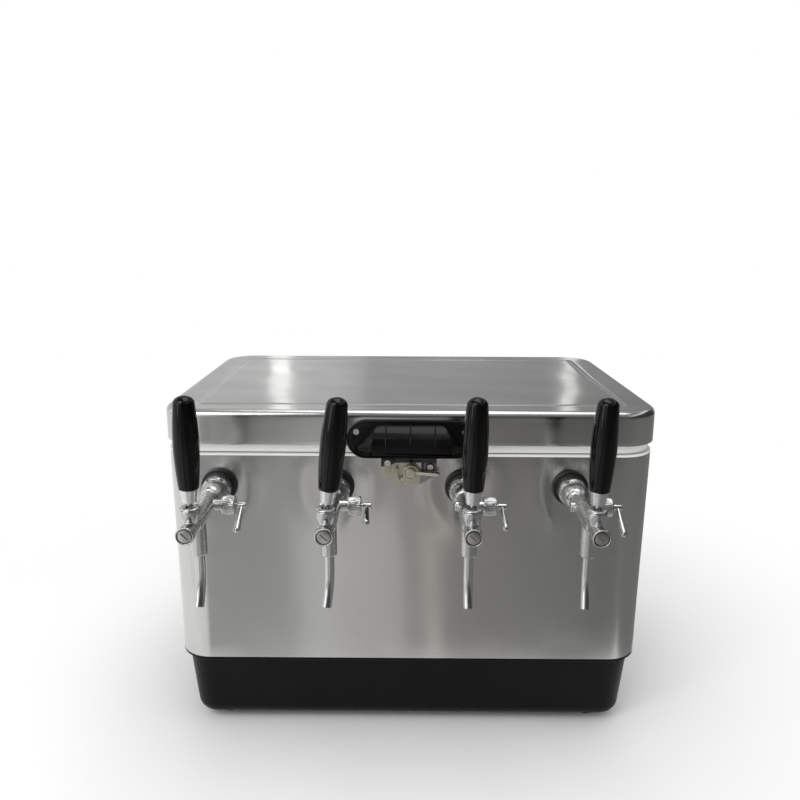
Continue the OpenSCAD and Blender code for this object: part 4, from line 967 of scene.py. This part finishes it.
# %% Flanges and coupling nuts
def four(name, build, finish, node, place=at_tap):
    """Builds a fitting once and puts it on all four taps."""
    mesh = bmesh.new()
    build(mesh)
    first = finish_mesh(name + "_1", mesh, "cooler", finish, place(0))
    copy_to_taps(first, name, node, place)


def flange(mesh):
    turned(mesh, soften([(11.1, 0.1), (22, 0.1), (22, 4.1), (20.9, 5.0), (18.5, 5.1), (18.5, 8.2),
                         (17.5, 9.2), (11.1, 9.2)], 0.7, 4) + [(11.1, 0.1)], "out", steps=72)


def nut_cuts(r, t, a):
    slot = abs((math.degrees(a) + 30) % 60 - 30) < 8.2
    return min(r, 15.6) if slot and t > 19.1 else r


def coupling_nut(mesh):
    outline = soften([(11.2, 9.3), (16.5, 9.3), (17.5, 10.3), (17.5, 19.0)], 0.5)
    outline += [(17.5, 19.05), (17.5, 19.15), (17.5, 21.0)]
    outline += soften([(17.5, 21.0), (16.7, 22.0), (16.7, 23.2), (15.9, 24.0), (12.0, 24.0),
                       (11.7, 22.0)], 0.3)[1:]
    turned(mesh, outline, "out", steps=120, shape=nut_cuts)


four("wall_flange", flange, fitting_black, "wall_flanges")
four("coupling_nut", coupling_nut, tap_chrome, "coupling_nuts")

# %% Collars and front caps
def collar_opening(r, t, a):
    """The hole in the collar is long towards the front, where the lever swings."""
    if r > 7.0:
        return r
    c, s = abs(math.cos(a)), math.sin(a)
    forward = 8.0 if s < 0 else 3.6
    return min(((c / 4.0) ** 5 + abs(s / forward) ** 5) ** -0.2, 7.9)


def collar(mesh):
    outline = soften([(9.5, 18.6), (9.5, 21.4), (11.2, 21.4), (11.2, 22.1), (10.6, 22.9),
                      (9.6, 23.5), (8.2, 24.0)], 0.4) + [(6.9, 24.05), (6.5, 23.7), (6.4, 21.0)]
    turned(mesh, outline, "up", move(0, -lever_out, 0), 64, collar_opening)


def front_cap(mesh):
    rim = soften([(5.9, 150.1), (9.2, 150.1), (10, 150.9), (10, 158.7), (9.6, 159.7), (9.0, 160.0),
                  (8.4, 159.8), (8.1, 159.2), (8.1, 156.1), (0.0, 156.1)], 0.3)
    turned(mesh, [(5.9, 147.6)] + rim, "out", steps=64)


def slot_opening(r, t, a):
    """Turns the plug's inner loops (drawn with radius 1) into a short straight slot."""
    if r > 1.01:
        return r
    return min(5.2 / max(1e-6, abs(math.cos(a))), 0.85 / max(1e-6, abs(math.sin(a))))


def cap_plug(mesh):
    turned(mesh, [(0, 156.2), (7.25, 156.2), (7.25, 159.0), (7.05, 159.4), (6.6, 159.6), (1, 159.6),
                  (1, 158.3), (0, 158.3)], "out", turn(42, "Y"), 96, slot_opening)


four("collar", collar, tap_chrome, "collar_nuts")
four("front_cap", front_cap, tap_chrome, "front_caps")
four("cap_plug", cap_plug, plug_steel, "cap_plugs")

# %% Flow bonnets and spouts
def knurl(r, t, a):
    return r - 0.32 * (0.5 + 0.5 * math.cos(36 * a)) if r > 10.5 and 20.6 < t < 32.4 else r


def bonnet(mesh):
    outline = soften([(6.6, 19), (10.2, 19), (11, 19.8), (11, 20.5)], 0.3)
    outline += [(11, 20.7), (11, 26), (11, 32.3)]
    outline += soften([(11, 32.5), (11, 33.2), (10.2, 34), (4.2, 34), (2.9, 33.2), (2.9, 30)], 0.3)
    turned(mesh, outline, "side", move(0, -flow_out, 0), 144, knurl)


four("flow_bonnet", bonnet, tap_chrome, "flow_bonnets")

spout_turn = [-8, -18, 0, -10]
spout_top, straight_end, bend_r, bend_angle = -28.7, -61.0, 90.0, 28.0
path = [(0, 0, spout_top + (straight_end - spout_top) * i / 5) for i in range(6)]
path += [(0, -bend_r * (1 - math.cos(a)), straight_end - bend_r * math.sin(a))
         for a in [math.radians(bend_angle * i / 12) for i in range(1, 13)]]


def pipe(mesh, points, r, bore, steps=40):
    """A tube with a real wall, joined at both ends."""
    outside, inside = (tube(mesh, points, radius, steps, ends="open") for radius in (r, bore))
    for end in (0, -1):
        skin(mesh, [outside[end], inside[end]])


def spout_place(k):
    return at_tap(k) @ move(0, -spout_out, 0) @ turn(spout_turn[k], "Z")


four("spout", lambda mesh: pipe(mesh, path, 5.5, 4.5), tube_chrome, "spout_tubes",
     spout_place)

# %% [markdown]
# ## Levers, handles and flow levers
#
# The lever is a ball with a stem, and a satin ferrule that carries the black handle. The handle is
# moulded, polished and widest a little under half way up: its outline is a handful of radii that
# blend by sine curves, which keeps its highlight one unbroken streak.

# %% Levers and handles
ferrule_foot, ferrule_top = 11.5, 27.1
handle_lean = [0, 6.5, 1.2, 2]


def grip_outline():
    foot, tall, low_r, wide_r, high_r = ferrule_top, 101.0, 10.9, 13.75, 11.25
    wide, neck, top = foot + 0.47 * tall, foot + 0.92 * tall, foot + tall
    line = [(0, foot - 2.2), (8.5, foot - 2.2), (8.5, foot + 0.15), (10.4, foot + 0.2),
            (10.8, foot + 0.5)]
    line += [(low_r + (wide_r - low_r) * math.sin(math.radians(90 * i / 18)),
              foot + 0.8 + (wide - foot - 0.8) * i / 18) for i in range(19)]
    line += [(high_r + (wide_r - high_r) * math.cos(math.radians(90 * i / 14)),
              wide + (neck - wide) * i / 14) for i in range(1, 15)]
    line += arc(high_r, [90 * i / 14 for i in range(1, 14)], 0, neck, top - neck)
    return line + [(0, top)]


def lever_mesh(mesh):
    ball = [(0, -6)] + arc(6, range(-80, 64, 8)) + [(2.6, 5.5)]
    ferrule = soften([(2.6, 10.6), (3.6, ferrule_foot), (6.4, ferrule_foot), (7.4, 12.5),
                      (7.9, 17.0), (9.5, 26.2), (9.6, 26.7), (9.3, ferrule_top),
                      (8.9, ferrule_top), (8.9, 24.5), (0, 24.5)], 0.4)
    turned(mesh, ball + ferrule, "up", steps=64)


def ball_place(k):
    return at_tap(k) @ move(0, -lever_out, ball_h) @ turn(handle_lean[k], "Y")


def handle_mesh(mesh):
    turned(mesh, grip_outline(), "up", steps=72)


for k in range(4):
    number = k + 1
    for name, build, slot_name, finish, node in (
            ("lever", lever_mesh, "tap_chrome", ferrule_satin, "tap_lever_%d"),
            ("handle", handle_mesh, "black_handle", handle_black, "handle_grip_%d")):
        bm = bmesh.new()
        build(bm)
        bm.transform(ball_place(k))
        made = finish_mesh("%s_%d" % (name, number), bm, "lever_%d" % number, finish)
        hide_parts(node % number)

# %% Flow levers
flow_rest = [62, 80, 70, 57]
bm = bmesh.new()
knob = [(2.5, 36), (3.2, 36), (3.5, 36.4), (3.5, 45.4), (3.0, 46), (0.8, 46.2), (0, 46.2)]
turned(bm, [(0, 18.5), (2.5, 18.5)] + soften(knob, 0.3), "side", steps=36)
tip_r, root_r, arm_len = 4.0, 1.8, 36
arm = [(0, -arm_len - tip_r)] + arc(tip_r, range(-80, 1, 10), 0, -arm_len)
arm += [(tip_r - (tip_r - root_r) * i / 8, -arm_len + arm_len * i / 8) for i in range(1, 9)]
turned(bm, arm + [(0, 0.2)], "up", move(41, 0, 0), 32)
for k in range(4):
    place = at_tap(k) @ move(0, -flow_out, 0) @ turn(-flow_rest[k], "X")
    body = "flow_%d" % (k + 1)
    if k == 0:
        piece = flow = finish_mesh("flow_arm_1", bm, body, tube_chrome, place)
    else:
        piece = put_piece("flow_arm_%d" % (k + 1), flow.data, body, place)
    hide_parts("flow_lever_%d" % (k + 1))
print("taps: 4 castings, 20 fittings, 4 spouts, 4 levers, 4 handles, 4 flow arms")

# %% [markdown]
# ## Finishes for the rest
#
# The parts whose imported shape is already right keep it, and get their finish here. A fine bevel on
# the pressed and moulded ones catches light along the edges, as the real press radius does.

# %% Finishes and fine edges
finish_of = {
    base_black: ["base_shell"],
    rubber_black: ["feet", "lid_gasket", "carry_grip_left", "carry_grip_right"],
    liner_white: ["tub_liner", "lid_liner", "drain_spout", "drain_nut", "drain_cap"],
    foam_cells: ["body_foam", "lid_foam"], cast_aluminium: ["cold_plate"],
    hose_clear: ["outlet_lines", "inlet_lines"],
    turned_steel: ["plate_barbs", "hose_clamps", "inlet_fittings", "inlet_lock_nuts", "shanks",
                   "shank_lock_nuts", "hinge_body_leaves", "hinge_lid_leaves", "hinge_pins",
                   "bail_brackets", "carry_bail_left", "carry_bail_right",
                   *("plunger_%d" % (k + 1) for k in range(4))],
    screw_steel: ["lid_screws", "body_screws"]}
for piece in (pull_plate, hood, ribs):
    piece.data.materials.append(pull_black)
# widths of the fine edges, in millimetres
eased = {"drain_cap": 0.5, "hinge_body_leaves": 0.2, "hinge_lid_leaves": 0.2, "bail_brackets": 0.3,
         "lid_screws": 0.3, "body_screws": 0.3, "feet": 0.6}
for finish, nodes in finish_of.items():
    for node in nodes:
        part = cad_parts[node]
        part.data.materials.clear()
        part.data.materials.append(finish)
        if node in eased:
            bevel = part.modifiers.new("fine_edge", "BEVEL")
            bevel.width, bevel.segments = eased[node] * MM, 2
            bevel.limit_method, bevel.angle_limit = "ANGLE", math.radians(38)
            bevel.harden_normals = True
print("finished nodes:", sum(len(n) for n in finish_of.values()))

# %% [markdown]
# ## Size
#
# The finished pieces have to fill the same box as the imported model.

# %% Size and finish
bpy.context.view_layer.update()
